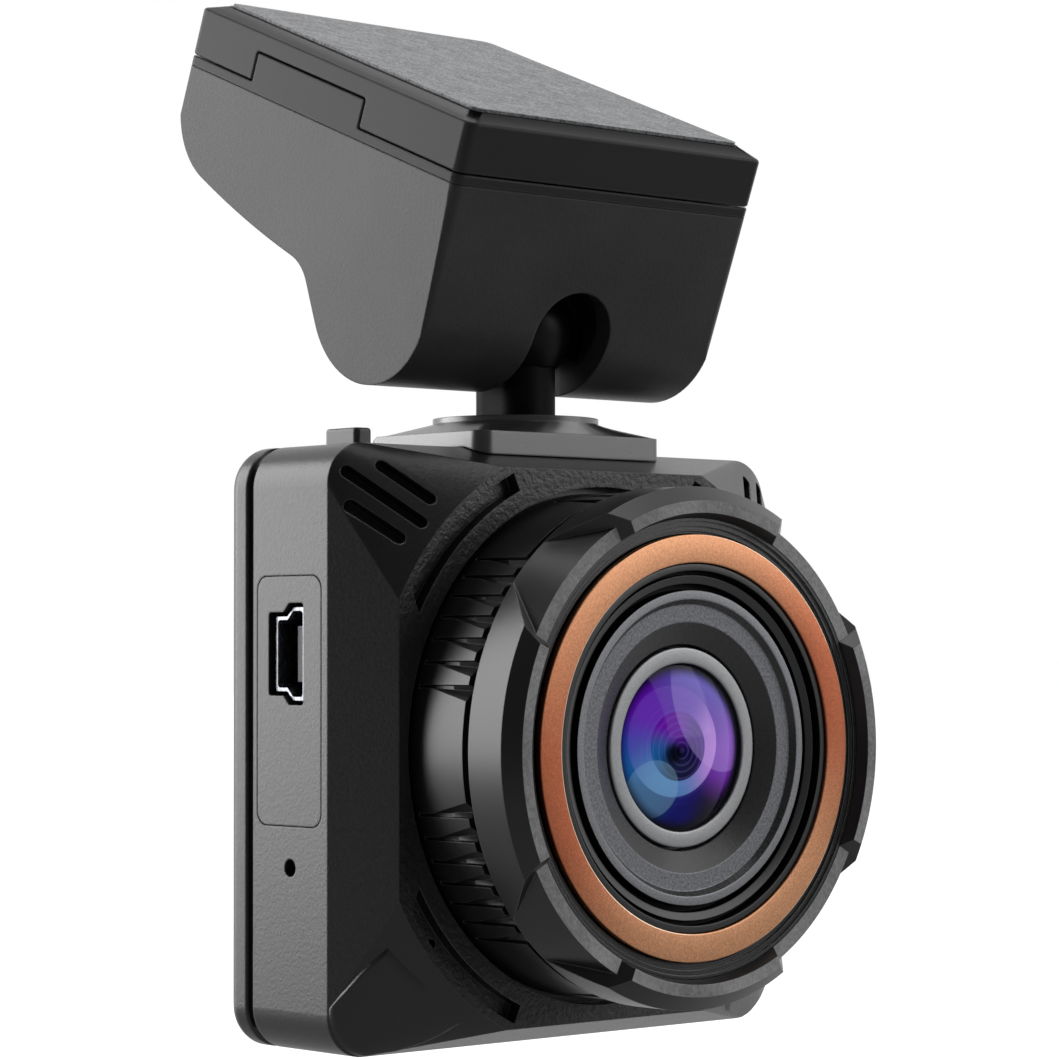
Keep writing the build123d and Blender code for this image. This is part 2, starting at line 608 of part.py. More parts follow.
with BuildPart() as mount_shoe:
    shoe_low = case_top + SHOE_LIFT
    with BuildSketch(left_plane):
        with BuildLine():
            Polyline(
                (shoe_rear, shoe_low),
                (SHELL_DEPTH, shoe_low),
                (shoe_front, slope_height(shoe_front) + SHOE_LIFT),
                (shoe_front, case_top + SHOE_EDGE),
                (shoe_rear + SHOE_EDGE, case_top + SHOE_EDGE),
                (shoe_rear, case_top + SHOE_EDGE / 2),
                close=True,
            )
        make_face()
    extrude(amount=SHOE_WIDTH / 2, both=True)
    with BuildSketch(level):
        with Locations((0, -SHOE_AHEAD)):
            RectangleRounded(SHOE_WIDTH, SHOE_LENGTH, SHOE_CORNER)
    extrude(amount=CASE_HEIGHT, mode=Mode.INTERSECT)
    # shallow pyramid up to the round collar under the arm
    with BuildSketch(level.offset(case_top + SHOE_EDGE)):
        with Locations((0, -SHOE_AHEAD - SHOE_EDGE / 2)):
            RectangleRounded(SHOE_WIDTH - SHOE_LIFT, SHOE_LENGTH - SHOE_EDGE - SHOE_LIFT, SHOE_CORNER)
    with BuildSketch(level.offset(case_top + SHOE_RISE)):
        with Locations((0, -SHOE_AHEAD)):
            Circle(COLLAR_DISC_RADIUS)
    loft()
    with BuildSketch(level.offset(case_top + SHOE_RISE)):
        with Locations((0, -SHOE_AHEAD)):
            Circle(COLLAR_DISC_RADIUS)
    extrude(amount=COLLAR_DISC_TOP - SHOE_RISE)
    # tee rail that slides in the case
    with BuildSketch(left_plane.offset(-TEE_LENGTH / 2)):
        with Locations((SHOE_AHEAD, tee_shoulder)):
            Rectangle(TEE_NECK, shoe_low - tee_shoulder + SHOE_LIFT, align=(Align.CENTER, Align.MIN))
            Rectangle(TEE_HEAD, TEE_HEAD_HEIGHT, align=(Align.CENTER, Align.MAX))
    extrude(amount=TEE_LENGTH)
    with BuildSketch(level.offset(tee_bottom)):
        with Locations((0, -SHOE_AHEAD)):
            Circle(SHOE_SCREW_HEAD)
    extrude(amount=SHOE_SCREW_SINK, mode=Mode.SUBTRACT)
    with BuildSketch(level.offset(tee_bottom)):
        with Locations((0, -SHOE_AHEAD)):
            Circle(SHOE_SCREW_RADIUS)
    extrude(amount=ARM_LENGTH, mode=Mode.SUBTRACT)

with BuildPart() as shoe_screw:
    with BuildSketch(level.offset(tee_bottom + SHOE_SCREW_SINK)):
        with Locations((0, -SHOE_AHEAD)):
            Circle(SHOE_SCREW_HEAD - SHOE_LIFT)
    extrude(amount=-SHOE_SCREW_HEAD_HEIGHT)
    with BuildSketch(level.offset(tee_bottom + SHOE_SCREW_SINK)):
        with Locations((0, -SHOE_AHEAD)):
            Circle(SHOE_SCREW_RADIUS)
    extrude(amount=shoe_screw_top - tee_bottom - SHOE_SCREW_SINK)

# ================================================================ front shell


def corner_outline(width, height, side_end, top_end, mid):
    """Closed outline with four straight sides, each corner one arc through a middle point."""
    half_w, half_h = width / 2, height / 2
    mid_x, mid_z = mid
    corners = [
        ((half_w, side_end), (mid_x, mid_z), (top_end, half_h)),
        ((-top_end, half_h), (-mid_x, mid_z), (-half_w, side_end)),
        ((-half_w, -side_end), (-mid_x, -mid_z), (-top_end, -half_h)),
        ((top_end, -half_h), (mid_x, -mid_z), (half_w, -side_end)),
    ]
    with BuildSketch() as outline:
        with BuildLine():
            for index, (start, middle, end) in enumerate(corners):
                ThreePointArc(start, middle, end)
                Line(end, corners[(index + 1) % 4][0])
        make_face()
    return outline.sketch_local


def case_outline(inset=0.0):
    """Rounded square of the case, drawn inwards by inset."""
    radius = CASE_CORNER - inset
    side_end = case_top - CASE_CORNER
    top_end = CASE_WIDTH / 2 - CASE_CORNER
    mid = (top_end + radius * sqrt(0.5), side_end + radius * sqrt(0.5))
    return corner_outline(CASE_WIDTH - 2 * inset, CASE_HEIGHT - 2 * inset, side_end, top_end, mid)


def nose_outline(inset=0.0):
    """Square of the collar with its corners cut round, drawn inwards by inset."""
    width, height, radius = NOSE_WIDTH - 2 * inset, NOSE_HEIGHT - 2 * inset, NOSE_RADIUS - inset
    side_end = sqrt(radius**2 - (width / 2) ** 2)
    top_end = sqrt(radius**2 - (height / 2) ** 2)
    return corner_outline(width, height, side_end, top_end, (radius * sqrt(0.5), radius * sqrt(0.5)))


def inlet_outline(inset=0.0):
    """The stepped outline of a five-pin inlet, drawn as (depth, z) about its centre."""
    half, thick = USB_WIDTH / 2 - inset, USB_THICK / 2 - inset
    shoulder = half - USB_STEP
    with BuildSketch() as outline:
        with BuildLine():
            Polyline(
                (-thick, -shoulder),
                (-thick, shoulder),
                (-USB_STEP / 2, shoulder),
                (USB_STEP / 2, half),
                (thick, half),
                (thick, -half),
                (USB_STEP / 2, -half),
                (-USB_STEP / 2, -shoulder),
                close=True,
            )
        make_face()
        fillet(outline.vertices(), USB_ROUND)
    return outline.sketch_local


def shell_form(inset, nose_inset):
    """Body of the front shell: straight sides, then eight faces running in to the collar."""
    with BuildPart() as form:
        with BuildSketch(camera):
            add(case_outline(inset))
        extrude(amount=SHELL_DEPTH)
        with BuildSketch(camera.offset(SHELL_DEPTH)):
            add(case_outline(inset))
        with BuildSketch(camera.offset(NOSE_DEPTH)):
            add(nose_outline(nose_inset))
        loft(ruled=True)
    return form


case_screw_places = [
    (side * (CASE_WIDTH / 2 - CASE_SCREW_INSET), -(case_top - CASE_SCREW_INSET)) for side in (-1, 1)
]
board_screw_places = [(x, case_top - BOARD_SCREW_DROP) for x, z in case_screw_places]
power_across = POWER_INSET - CASE_WIDTH / 2
panel_centre = ((PANEL_FROM + PANEL_TO) / 2, (PANEL_LOW + PANEL_HIGH) / 2)
panel_size = (PANEL_TO - PANEL_FROM, PANEL_HIGH - PANEL_LOW)
tee_slot_left = TEE_LENGTH / 2 + TEE_GAP
tee_floor = tee_bottom - TEE_GAP
vent_fall = NOSE_DEPTH - SHELL_DEPTH
case_corner_reach = hypot(CASE_WIDTH / 2 - CASE_CORNER, case_top - CASE_CORNER) + CASE_CORNER
facet_run = case_corner_reach - NOSE_RADIUS


def corner_facet(side):
    """Plane on an upper corner face, x down the slope to the collar, z outwards."""
    diagonal = sqrt(0.5)
    middle = (case_corner_reach + NOSE_RADIUS) / 2 * diagonal
    centre = camera.from_local_coords((side * middle, middle, (SHELL_DEPTH + NOSE_DEPTH) / 2))
    slope = Vector(-side * facet_run * diagonal, -vent_fall, -facet_run * diagonal)
    outward = Vector(side * vent_fall * diagonal, -facet_run, vent_fall * diagonal)
    return Plane(origin=centre, x_dir=slope, z_dir=outward)


with BuildPart() as shell_cavity:
    add(shell_form(CASE_WALL, NOSE_WALL * 0.7).part)
    split(bisect_by=camera.offset(NOSE_DEPTH - NOSE_WALL), keep=Keep.BOTTOM)

with BuildPart() as front_shell:
    add(shell_form(0, 0).part)
    add(shell_cavity.part, mode=Mode.SUBTRACT)
    with BuildSketch(camera.offset(NOSE_DEPTH)):
        Circle(BARREL_HOLE)
    extrude(amount=-2 * NOSE_WALL, mode=Mode.SUBTRACT)
    # channel for the mount shoe, open at the right-hand side
    with BuildSketch(camera):
        add(case_outline())
        with Locations((-tee_slot_left - CASE_WALL, tee_floor - CASE_WALL / 2)):
            Rectangle(CASE_WIDTH, CASE_HEIGHT, align=(Align.MIN, Align.MIN), mode=Mode.INTERSECT)
    extrude(amount=SHOE_AHEAD + TEE_HEAD / 2 + TEE_GAP + CASE_WALL / 2)
    with BuildSketch(left_plane.offset(tee_slot_left)):
        with Locations((SHOE_AHEAD, tee_shoulder + TEE_GAP)):
            Rectangle(TEE_NECK + 2 * TEE_GAP, CASE_HEIGHT, align=(Align.CENTER, Align.MIN))
            head_space = TEE_HEAD_HEIGHT + 2 * TEE_GAP
            Rectangle(TEE_HEAD + 2 * TEE_GAP, head_space, align=(Align.CENTER, Align.MAX))
    extrude(amount=-CASE_WIDTH, mode=Mode.SUBTRACT)
    # posts for the case screws and the board screws
    with BuildSketch(camera.offset(PCB_FRONT)):
        with Locations(*case_screw_places, *board_screw_places):
            Circle(POST_RADIUS)
    extrude(amount=NOSE_DEPTH - NOSE_WALL - PCB_FRONT)
    with BuildSketch(camera.offset(PCB_FRONT)):
        with Locations(*case_screw_places, *board_screw_places):
            Circle(CASE_SCREW_RADIUS)
    extrude(amount=SCREW_BITE, mode=Mode.SUBTRACT)
    # thicker wall behind the vents
    for side in (-1, 1):
        with BuildSketch(corner_facet(side)):
            with Locations((0, side * VENT_ASIDE)):
                Rectangle(VENT_LONG + VENT_WIDTH, 3 * VENT_PITCH)
        extrude(amount=-VENT_BACKING)
    add(shell_form(0, 0).part, mode=Mode.INTERSECT)
    # side panel bed, inlet, reset pinhole, power button hole, card slot and speaker holes
    with BuildSketch(left_plane.offset(CASE_WIDTH / 2)):
        with Locations(panel_centre):
            RectangleRounded(panel_size[0] + PANEL_GAP * 2, panel_size[1] + PANEL_GAP * 2, PANEL_CORNER)
    extrude(amount=-PANEL_THICKNESS, mode=Mode.SUBTRACT)
    with BuildSketch(left_plane.offset(CASE_WIDTH / 2)):
        with Locations((USB_DEPTH, USB_HEIGHT)):
            add(inlet_outline(-USB_CLEAR))
        with Locations((RESET_DEPTH, RESET_HEIGHT)):
            Circle(RESET_HOLE)
    extrude(amount=-CASE_WALL, mode=Mode.SUBTRACT)
    with BuildSketch(level.offset(case_top)):
        with Locations((power_across, -SHOE_AHEAD)):
            RectangleRounded(POWER_WIDTH + 2 * BUTTON_GAP, POWER_LENGTH + 2 * BUTTON_GAP, BUTTON_ROUND)
    extrude(amount=-CASE_WALL, mode=Mode.SUBTRACT)
    with BuildSketch(left_plane.offset(-CASE_WIDTH / 2)):
        with Locations((CARD_DEPTH, CARD_HEIGHT)):
            Rectangle(CARD_THICKNESS + 2 * CARD_GAP, CARD_WIDTH + 2 * CARD_GAP)
    extrude(amount=CASE_WALL, mode=Mode.SUBTRACT)
    with BuildSketch(level.offset(-case_top)):
        with Locations((SPEAKER_ACROSS, -SPEAKER_DEPTH)):
            with GridLocations(
                SPEAKER_HOLE_PITCH, SPEAKER_HOLE_PITCH, SPEAKER_HOLES_ACROSS, SPEAKER_HOLES_DEEP
            ):
                Circle(RESET_HOLE)
    extrude(amount=CASE_WALL, mode=Mode.SUBTRACT)
    # curved slots in the corners of the collar
    with BuildSketch(camera.offset(NOSE_DEPTH)):
        for across in (1, -1):
            for up in (1, -1):
                with BuildLine():
                    points = [
                        (radius * cos(radians(angle)) * across, radius * sin(radians(angle)) * up)
                        for radius, angle in (
                            (ARC_OUTER, ARC_OUTER_FROM),
                            (ARC_OUTER, (ARC_OUTER_FROM + ARC_TO) / 2),
                            (ARC_OUTER, ARC_TO),
                            (ARC_INNER, ARC_TO),
                            (ARC_INNER, (ARC_INNER_FROM + ARC_TO) / 2),
                            (ARC_INNER, ARC_INNER_FROM),
                        )
                    ]
                    ThreePointArc(*points[0:3])
                    Line(points[2], points[3])
                    ThreePointArc(*points[3:6])
                    Line(points[5], points[0])
                make_face()
    extrude(amount=-ARC_DEPTH, mode=Mode.SUBTRACT)
    sound_reach = (ARC_OUTER + ARC_INNER) / 2
    sound_hole = (
        -sound_reach * cos(radians(SOUND_HOLE_ANGLE)),
        -sound_reach * sin(radians(SOUND_HOLE_ANGLE)),
    )
    with BuildSketch(camera.offset(NOSE_DEPTH - ARC_DEPTH)):
        with Locations(sound_hole):
            Circle(SOUND_HOLE_RADIUS)
    extrude(amount=-NOSE_WALL, mode=Mode.SUBTRACT)
    # vents in both upper corner faces
    for side in (-1, 1):
        with BuildSketch(corner_facet(side).offset(-VENT_DEPTH)):
            with Locations((0, side * VENT_ASIDE)):
                SlotOverall(VENT_LONG, VENT_WIDTH)
            with Locations(*[(VENT_SHIFT, side * VENT_ASIDE + row * VENT_PITCH) for row in (-1, 1)]):
                SlotOverall(VENT_SHORT, VENT_WIDTH)
        extrude(amount=3 * CASE_WALL, mode=Mode.SUBTRACT)


# ================================================================ barrel
def rib_frame(angle):
    """Plane through the barrel axis at an angle: x forwards, y inwards, z towards smaller angles."""
    outward = Vector(cos(radians(angle)), 0, sin(radians(angle)))
    return Plane(origin=case_origin, x_dir=(0, -1, 0), z_dir=outward.cross(Vector(0, -1, 0)))


with BuildPart() as rib_cutter:
    rib_plane = rib_frame(0)
    facet_back = rib_plane.from_local_coords((RIB_FRONT - RIB_CUT_LENGTH, -RIB_RADIUS, 0))
    facet_low = rib_plane.from_local_coords((RIB_FRONT, RIB_CUT_DEPTH - RIB_RADIUS, 0))
    crease_height = sqrt(RIB_RADIUS**2 - RIB_CUT_WIDTH**2)
    facet_side = rib_plane.from_local_coords((RIB_FRONT, -crease_height, RIB_CUT_WIDTH))
    facet_normal = (facet_low - facet_back).cross(facet_side - facet_back)
    with BuildSketch(rib_plane):
        with Locations((RIB_FRONT, RIB_CUT_DEPTH - RIB_RADIUS)):
            Rectangle(RIB_CUT_LENGTH, RIB_WALL + RIB_CUT_DEPTH, align=Align.MAX)
    extrude(amount=RIB_CUT_WIDTH)
    split(bisect_by=Plane(origin=facet_back, z_dir=facet_normal), keep=Keep.TOP)
    with BuildSketch(rib_plane):
        with Locations((NOSE_DEPTH, -RIB_RADIUS + RIB_LINE_DEPTH)):
            Rectangle(NOSE_DEPTH, RIB_WALL, align=(Align.MIN, Align.MAX))
    extrude(amount=-RIB_LINE_WIDTH)

rib_back = NOSE_DEPTH - NOSE_WALL
rib_ring_form = turned(
    [
        (RIB_RADIUS - RIB_WALL, rib_back - NOSE_WALL),
        (RIB_FLANGE, rib_back - NOSE_WALL),
        (RIB_FLANGE, rib_back),
        (RIB_RADIUS, rib_back),
        (RIB_RADIUS, RIB_FRONT),
        (GROOVE_RADIUS, RIB_FRONT),
        (GROOVE_RADIUS, BEZEL_BACK),
        (RIB_RADIUS - RIB_WALL, BEZEL_BACK),
    ]
)
with BuildPart() as rib_ring:
    add(rib_ring_form.part)
    for group, hand in enumerate(RIB_HANDS):
        group_angle = RIB_GROUP_ANGLE + group * 360 / len(RIB_HANDS)
        cutter = rib_cutter.part if hand > 0 else rib_cutter.part.mirror(rib_frame(0))
        for rib in range(RIBS_PER_GROUP):
            swing = (rib - (RIBS_PER_GROUP - 1) / 2) * RIB_PITCH
            turn = Location(case_origin, (0, -group_angle - swing, 0)) * Location(case_origin * -1)
            add(cutter.moved(turn), mode=Mode.SUBTRACT)


def ring_sector(plane, inner, outer, half_angle):
    """A ring-shaped sector centred on one diagonal."""
    with BuildSketch(plane) as sector:
        with BuildLine():
            far = CenterArc((0, 0), outer, 45 - half_angle, 2 * half_angle)
            near = CenterArc((0, 0), inner, 45 - half_angle, 2 * half_angle)
            Line(near @ 0, far @ 0)
            Line(near @ 1, far @ 1)
        make_face()
    return sector.sketch


with BuildPart() as bezel_recess:
    clear_radius = BEZEL_RADIUS + RIB_WALL
    add(ring_sector(camera.offset(BEZEL_BACK), BEZEL_RADIUS, clear_radius, RECESS_ANGLE_BACK))
    add(ring_sector(camera.offset(BEZEL_LOW_FRONT), BEZEL_LOW_RADIUS, clear_radius, RECESS_ANGLE_LOW))
    loft(ruled=True)
    add(ring_sector(camera.offset(BEZEL_LOW_FRONT), BEZEL_BORE - RIB_WALL, clear_radius, RECESS_ANGLE_LOW))
    add(ring_sector(camera.offset(BEZEL_FRONT), BEZEL_BORE - RIB_WALL, clear_radius, RECESS_ANGLE_FRONT))
    loft(ruled=True)

bezel_form = turned(
    [
        (BEZEL_BORE, BEZEL_BACK + RING_FIT),
        (BEZEL_RADIUS, BEZEL_BACK + RING_FIT),
        (BEZEL_RADIUS, BEZEL_EDGE),
        (BEZEL_LAND_OUTER, BEZEL_FRONT),
        (BEZEL_LAND_INNER, BEZEL_FRONT),
        (BEZEL_BORE, BEZEL_LOW_FRONT),
    ]
)
with BuildPart() as bezel_ring:
    add(bezel_form.part)
    for quarter in range(4):
        turn = Location(case_origin, (0, quarter * 90, 0)) * Location(case_origin * -1)
        add(bezel_recess.part.moved(turn), mode=Mode.SUBTRACT)

step_outer = BEZEL_BORE - RING_FIT
copper_back = COPPER_FRONT - COPPER_THICKNESS
step_inner = SURROUND_OUTER + RING_FIT
step_ring = turned(
    [
        (step_inner, STEP_RING_BACK),
        (step_outer, STEP_RING_BACK),
        (step_outer, BEZEL_LOW_FRONT - STEP_OUTER_DROP),
        (COPPER_OUTER + RING_FIT, BEZEL_LOW_FRONT - STEP_INNER_DROP),
        (COPPER_OUTER + RING_FIT, copper_back),
        (step_inner, copper_back),
    ]
)
copper_ring = turned(
    [
        (COPPER_INNER, copper_back),
        (COPPER_OUTER, copper_back),
        (COPPER_OUTER, COPPER_FRONT - COPPER_CHAMFER),
        (COPPER_OUTER - COPPER_CHAMFER, COPPER_FRONT),
        (COPPER_INNER + COPPER_CHAMFER, COPPER_FRONT),
        (COPPER_INNER, COPPER_FRONT - COPPER_CHAMFER),
    ]
)
lens_surround = turned(
    [
        (LENS_TUBE_RADIUS + LENS_TUBE_WALL + RING_FIT, SURROUND_BACK - SURROUND_FLANGE),
        (SURROUND_OUTER, SURROUND_BACK - SURROUND_FLANGE),
        (SURROUND_OUTER, SURROUND_FRONT),
        (SURROUND_OUTER - SURROUND_LIP, SURROUND_FRONT),
        (SURROUND_OUTER - SURROUND_LIP, CHANNEL_FLOOR),
        (CHANNEL_INNER, CHANNEL_FLOOR),
        (CHANNEL_INNER, LEDGE_FRONT),
        (LEDGE_OUTER, LEDGE_FRONT),
        (PLATEAU_OUTER, PLATEAU_FRONT),
        (PLATEAU_INNER, PLATEAU_FRONT),
        (LENS_WELL, LENS_FRONT),
        (LENS_WELL, SURROUND_BACK),
        (LENS_TUBE_RADIUS + LENS_TUBE_WALL + RING_FIT, SURROUND_BACK),
    ]
)

# ================================================================ lens
tube_outer = LENS_TUBE_RADIUS + LENS_TUBE_WALL
lens_tube = turned(
    [
        (LENS_TUBE_RADIUS - LENS_TUBE_WALL, LENS_TUBE_BACK),
        (LENS_TUBE_RADIUS, LENS_TUBE_BACK),
        (LENS_TUBE_RADIUS, LENS_HEAD_BACK),
        (tube_outer, LENS_HEAD_BACK),
        (tube_outer, SURROUND_BACK + RING_FIT),
        (LENS_RING_OUTER, SURROUND_BACK + RING_FIT),
        (LENS_RING_OUTER, LENS_FRONT - RING_DROP),
        (GLASS_RADIUS - GLASS_SEAT, LENS_FRONT - RING_DROP),
        (GLASS_RADIUS - GLASS_SEAT, LENS_HEAD_BACK + LENS_TUBE_WALL),
        (LENS_TUBE_RADIUS - LENS_TUBE_WALL, LENS_HEAD_BACK + LENS_TUBE_WALL),
    ]
)
lens_ring = turned(
    [
        (GLASS_RADIUS + RING_FIT, LENS_FRONT - RING_DROP),
        (LENS_RING_OUTER, LENS_FRONT - RING_DROP),
        (LENS_RING_OUTER, LENS_FRONT - RING_CHAMFER),
        (LENS_RING_OUTER - RING_CHAMFER, LENS_FRONT),
        (GLASS_RADIUS + RING_FIT + RING_CHAMFER, LENS_FRONT),
        (GLASS_RADIUS + RING_FIT, LENS_FRONT - RING_CHAMFER),
    ]
)


def lens_disc(radius, edge_depth, sag, back_sag, edge_thickness):
    """A lens with a domed front and a hollowed or domed back, turned about the barrel axis."""
    with BuildPart() as lens:
        with BuildSketch(barrel_section):
            with BuildLine():
                back = edge_depth - edge_thickness
                Line((0, back + back_sag), (0, edge_depth + sag))
                front_radius = (radius**2 + sag**2) / (2 * sag)
                back_radius = (radius**2 + back_sag**2) / (2 * abs(back_sag))
                RadiusArc((0, edge_depth + sag), (radius, edge_depth), front_radius)
                Line((radius, edge_depth), (radius, back))
                RadiusArc((radius, back), (0, back + back_sag), -back_radius if back_sag > 0 else back_radius)
            make_face()
        revolve(axis=barrel_axis)
    return lens


front_edge = GLASS_EDGE - LENS_FRONT + RING_DROP
front_lens = lens_disc(GLASS_RADIUS, GLASS_EDGE, GLASS_SAG, GLASS_BACK_SAG, front_edge)
middle_lens = lens_disc(
    GLASS_RADIUS - GLASS_SEAT - RING_FIT,
    LENS_HEAD_BACK + MIDDLE_LENS_AHEAD,
    MIDDLE_LENS_SAG,
    MIDDLE_LENS_BACK_SAG,
    MIDDLE_LENS_EDGE,
)
rear_lens = lens_disc(
    LENS_TUBE_RADIUS - LENS_TUBE_WALL - RING_FIT,
    LENS_TUBE_BACK + REAR_LENS_AHEAD,
    REAR_LENS_SAG,
    REAR_LENS_BACK_SAG,
    REAR_LENS_EDGE,
)

# ================================================================ rear cover, screen and keys
seam_back = SEAM_GAP + SEAM_WIDTH
cover_inside = COVER_DEPTH - COVER_WALL
board_back = PCB_FRONT - PCB_THICKNESS
key_row = KEY_RISE_ROW - case_top
key_pitch = (CASE_WIDTH - 2 * KEY_MARGIN) / (KEY_COUNT - 1)
key_width = key_pitch - KEY_SPACE
key_places = [((index - (KEY_COUNT - 1) / 2) * key_pitch, key_row) for index in range(KEY_COUNT)]
screen_width = CASE_WIDTH - 2 * SCREEN_SIDE
screen_top = case_top - SCREEN_ABOVE
screen_low = key_row + SCREEN_BELOW
screen_height = screen_top - screen_low
screen_centre = (screen_top + screen_low) / 2
board_width = CASE_WIDTH - 2 * (CASE_WALL + BOARD_SIDE_GAP)
board_top = tee_floor - CASE_WALL / 2 - BOARD_TOP_GAP
board_low = CASE_WALL + BOARD_BOTTOM_GAP - case_top

with BuildPart() as rear_cover:
    with BuildSketch(rear.offset(seam_back)):
        add(case_outline())
    extrude(amount=COVER_DEPTH - seam_back)
    fillet(rear_cover.faces().sort_by(Axis.Y)[-1].edges(), COVER_ROUND)
    with BuildSketch(rear.offset(SEAM_GAP)):
        add(case_outline(SEAM_INSET))
    extrude(amount=2 * SEAM_WIDTH)
    with BuildSketch(rear.offset(SEAM_GAP)):
        add(case_outline(CASE_WALL))
    extrude(amount=cover_inside - SEAM_GAP, mode=Mode.SUBTRACT)
    with BuildSketch(rear.offset(-board_back)):
        with Locations(*case_screw_places):
            Circle(CASE_SCREW_BOSS)
    extrude(amount=cover_inside + board_back)
    with BuildSketch(rear.offset(COVER_DEPTH)):
        with Locations((0, screen_centre)):
            RectangleRounded(screen_width + 2 * PANEL_GAP, screen_height + 2 * PANEL_GAP, PANEL_CORNER)
    extrude(amount=-SCREEN_GLASS, mode=Mode.SUBTRACT)
    with BuildSketch(rear.offset(COVER_DEPTH)):
        with Locations((0, screen_centre)):
            Rectangle(screen_width - 2 * SCREEN_LEDGE, screen_height - 2 * SCREEN_LEDGE)
        with Locations(*key_places):
            RectangleRounded(key_width + 2 * BUTTON_GAP, KEY_HEIGHT + 2 * BUTTON_GAP, KEY_HEIGHT / 2)
        with Locations(*case_screw_places):
            Circle(CASE_SCREW_HEAD + BUTTON_GAP)
    extrude(amount=-COVER_WALL, mode=Mode.SUBTRACT)
    with BuildSketch(rear.offset(cover_inside)):
        with Locations(*case_screw_places):
            Circle(CASE_SCREW_RADIUS)
    extrude(amount=-cover_inside - board_back, mode=Mode.SUBTRACT)

with BuildPart() as case_screws:
    with BuildSketch(rear.offset(cover_inside)):
        with Locations(*case_screw_places):
            Circle(CASE_SCREW_HEAD)
    extrude(amount=COVER_WALL * 0.6)
    with BuildSketch(rear.offset(cover_inside)):
        with Locations(*case_screw_places):
            Circle(CASE_SCREW_RADIUS)
    extrude(amount=SCREW_SHORT - cover_inside - PCB_FRONT - SCREW_BITE)

screen_window = block(
    rear,
    screen_width,
    screen_height,
    COVER_DEPTH - SCREEN_GLASS,
    COVER_DEPTH,
    (0, screen_centre),
    PANEL_CORNER,
)
display_front = cover_inside - DISPLAY_THICKNESS
display_panel = block(
    rear,
    screen_width - SCREEN_LEDGE,
    screen_height - SCREEN_LEDGE,
    display_front,
    cover_inside,
    (0, screen_centre),
)
frame_low = screen_low + SCREEN_LEDGE
frame_width = 2 * (CASE_WIDTH / 2 - CASE_SCREW_INSET - CASE_SCREW_HEAD - FRAME_GAP)
with BuildPart() as display_frame:
    with BuildSketch(rear.offset(-board_back)):
        with Locations((0, (frame_low + board_top) / 2)):
            Rectangle(frame_width, board_top - frame_low)
            opening = (frame_width - 2 * FRAME_WALL, board_top - frame_low - 2 * FRAME_WALL)
            Rectangle(*opening, mode=Mode.SUBTRACT)
    extrude(amount=display_front + board_back)


def key_button(place):
    """One rear key: an oval cap through the cover, with a flange that stops it inside."""
    with BuildPart() as key:
        with BuildSketch(rear.offset(cover_inside - PANEL_GAP)):
            with Locations(place):
                RectangleRounded(key_width, KEY_HEIGHT, KEY_HEIGHT / 2 - BUTTON_GAP)
        extrude(amount=COVER_WALL + PANEL_GAP + KEY_RISE)
        fillet(key.faces().sort_by(Axis.Y)[-1].edges(), KEY_RISE / 2)
        with BuildSketch(rear.offset(cover_inside - PANEL_GAP)):
            with Locations(place):
                Rectangle(key_width + BUTTON_FLANGE * 2, KEY_HEIGHT + BUTTON_FLANGE * 2)
        extrude(amount=-BUTTON_FLANGE)
    return key


key_names = ("key_power_menu", "key_up", "key_down", "key_confirm")
keys = [key_button(place) for place in key_places]
key_switch_top = cover_inside - PANEL_GAP - BUTTON_FLANGE - BUTTON_TRAVEL - SWITCH_GAP
with BuildPart() as key_switches:
    with BuildSketch(rear.offset(-board_back)):
        with Locations(*key_places):
            Rectangle(SWITCH_SIZE, SWITCH_SIZE)
    extrude(amount=board_back + key_switch_top - BUTTON_TRAVEL)
    with BuildSketch(rear.offset(-board_back)):
        with Locations(*key_places):
            Circle(SWITCH_SIZE / 4)
    extrude(amount=board_back + key_switch_top)

# ================================================================ side panel, inlet, top button, reset
left_face = CASE_WIDTH / 2
with BuildPart() as side_panel:
    with BuildSketch(left_plane.offset(left_face)):
        with Locations(panel_centre):
            RectangleRounded(*panel_size, PANEL_CORNER)
        with Locations((USB_DEPTH, USB_HEIGHT)):
            add(inlet_outline(-USB_CLEAR), mode=Mode.SUBTRACT)
    extrude(amount=-PANEL_THICKNESS)


usb_front = left_face - USB_RECESS
with BuildPart() as usb_shell:
    with BuildSketch(left_plane.offset(usb_front)):
        with Locations((USB_DEPTH, USB_HEIGHT)):
            add(inlet_outline())
    extrude(amount=-USB_LENGTH)
    with BuildSketch(left_plane.offset(usb_front)):
        with Locations((USB_DEPTH, USB_HEIGHT)):
            add(inlet_outline(USB_SHEET))
    extrude(amount=-USB_LENGTH + USB_SHEET, mode=Mode.SUBTRACT)
usb_tongue = block(
    left_plane,
    USB_TONGUE_THICK,
    USB_TONGUE_WIDTH,
    usb_front - USB_LENGTH + USB_SHEET,
    usb_front - USB_THICK / 4,
    (USB_DEPTH + USB_TONGUE_THICK / 4, USB_HEIGHT),
)
with BuildPart() as usb_pins:
    with BuildSketch(left_plane.offset(usb_front - USB_LENGTH + USB_SHEET)):
        pin_depth = USB_DEPTH + USB_TONGUE_THICK * 0.75 + USB_SHEET / 4
        with Locations((pin_depth, USB_HEIGHT)):
            with GridLocations(1, USB_PIN_PITCH, 1, 5):
                Rectangle(USB_SHEET / 2, USB_PIN_PITCH / 2)
    extrude(amount=USB_LENGTH - USB_SHEET - USB_THICK / 4)

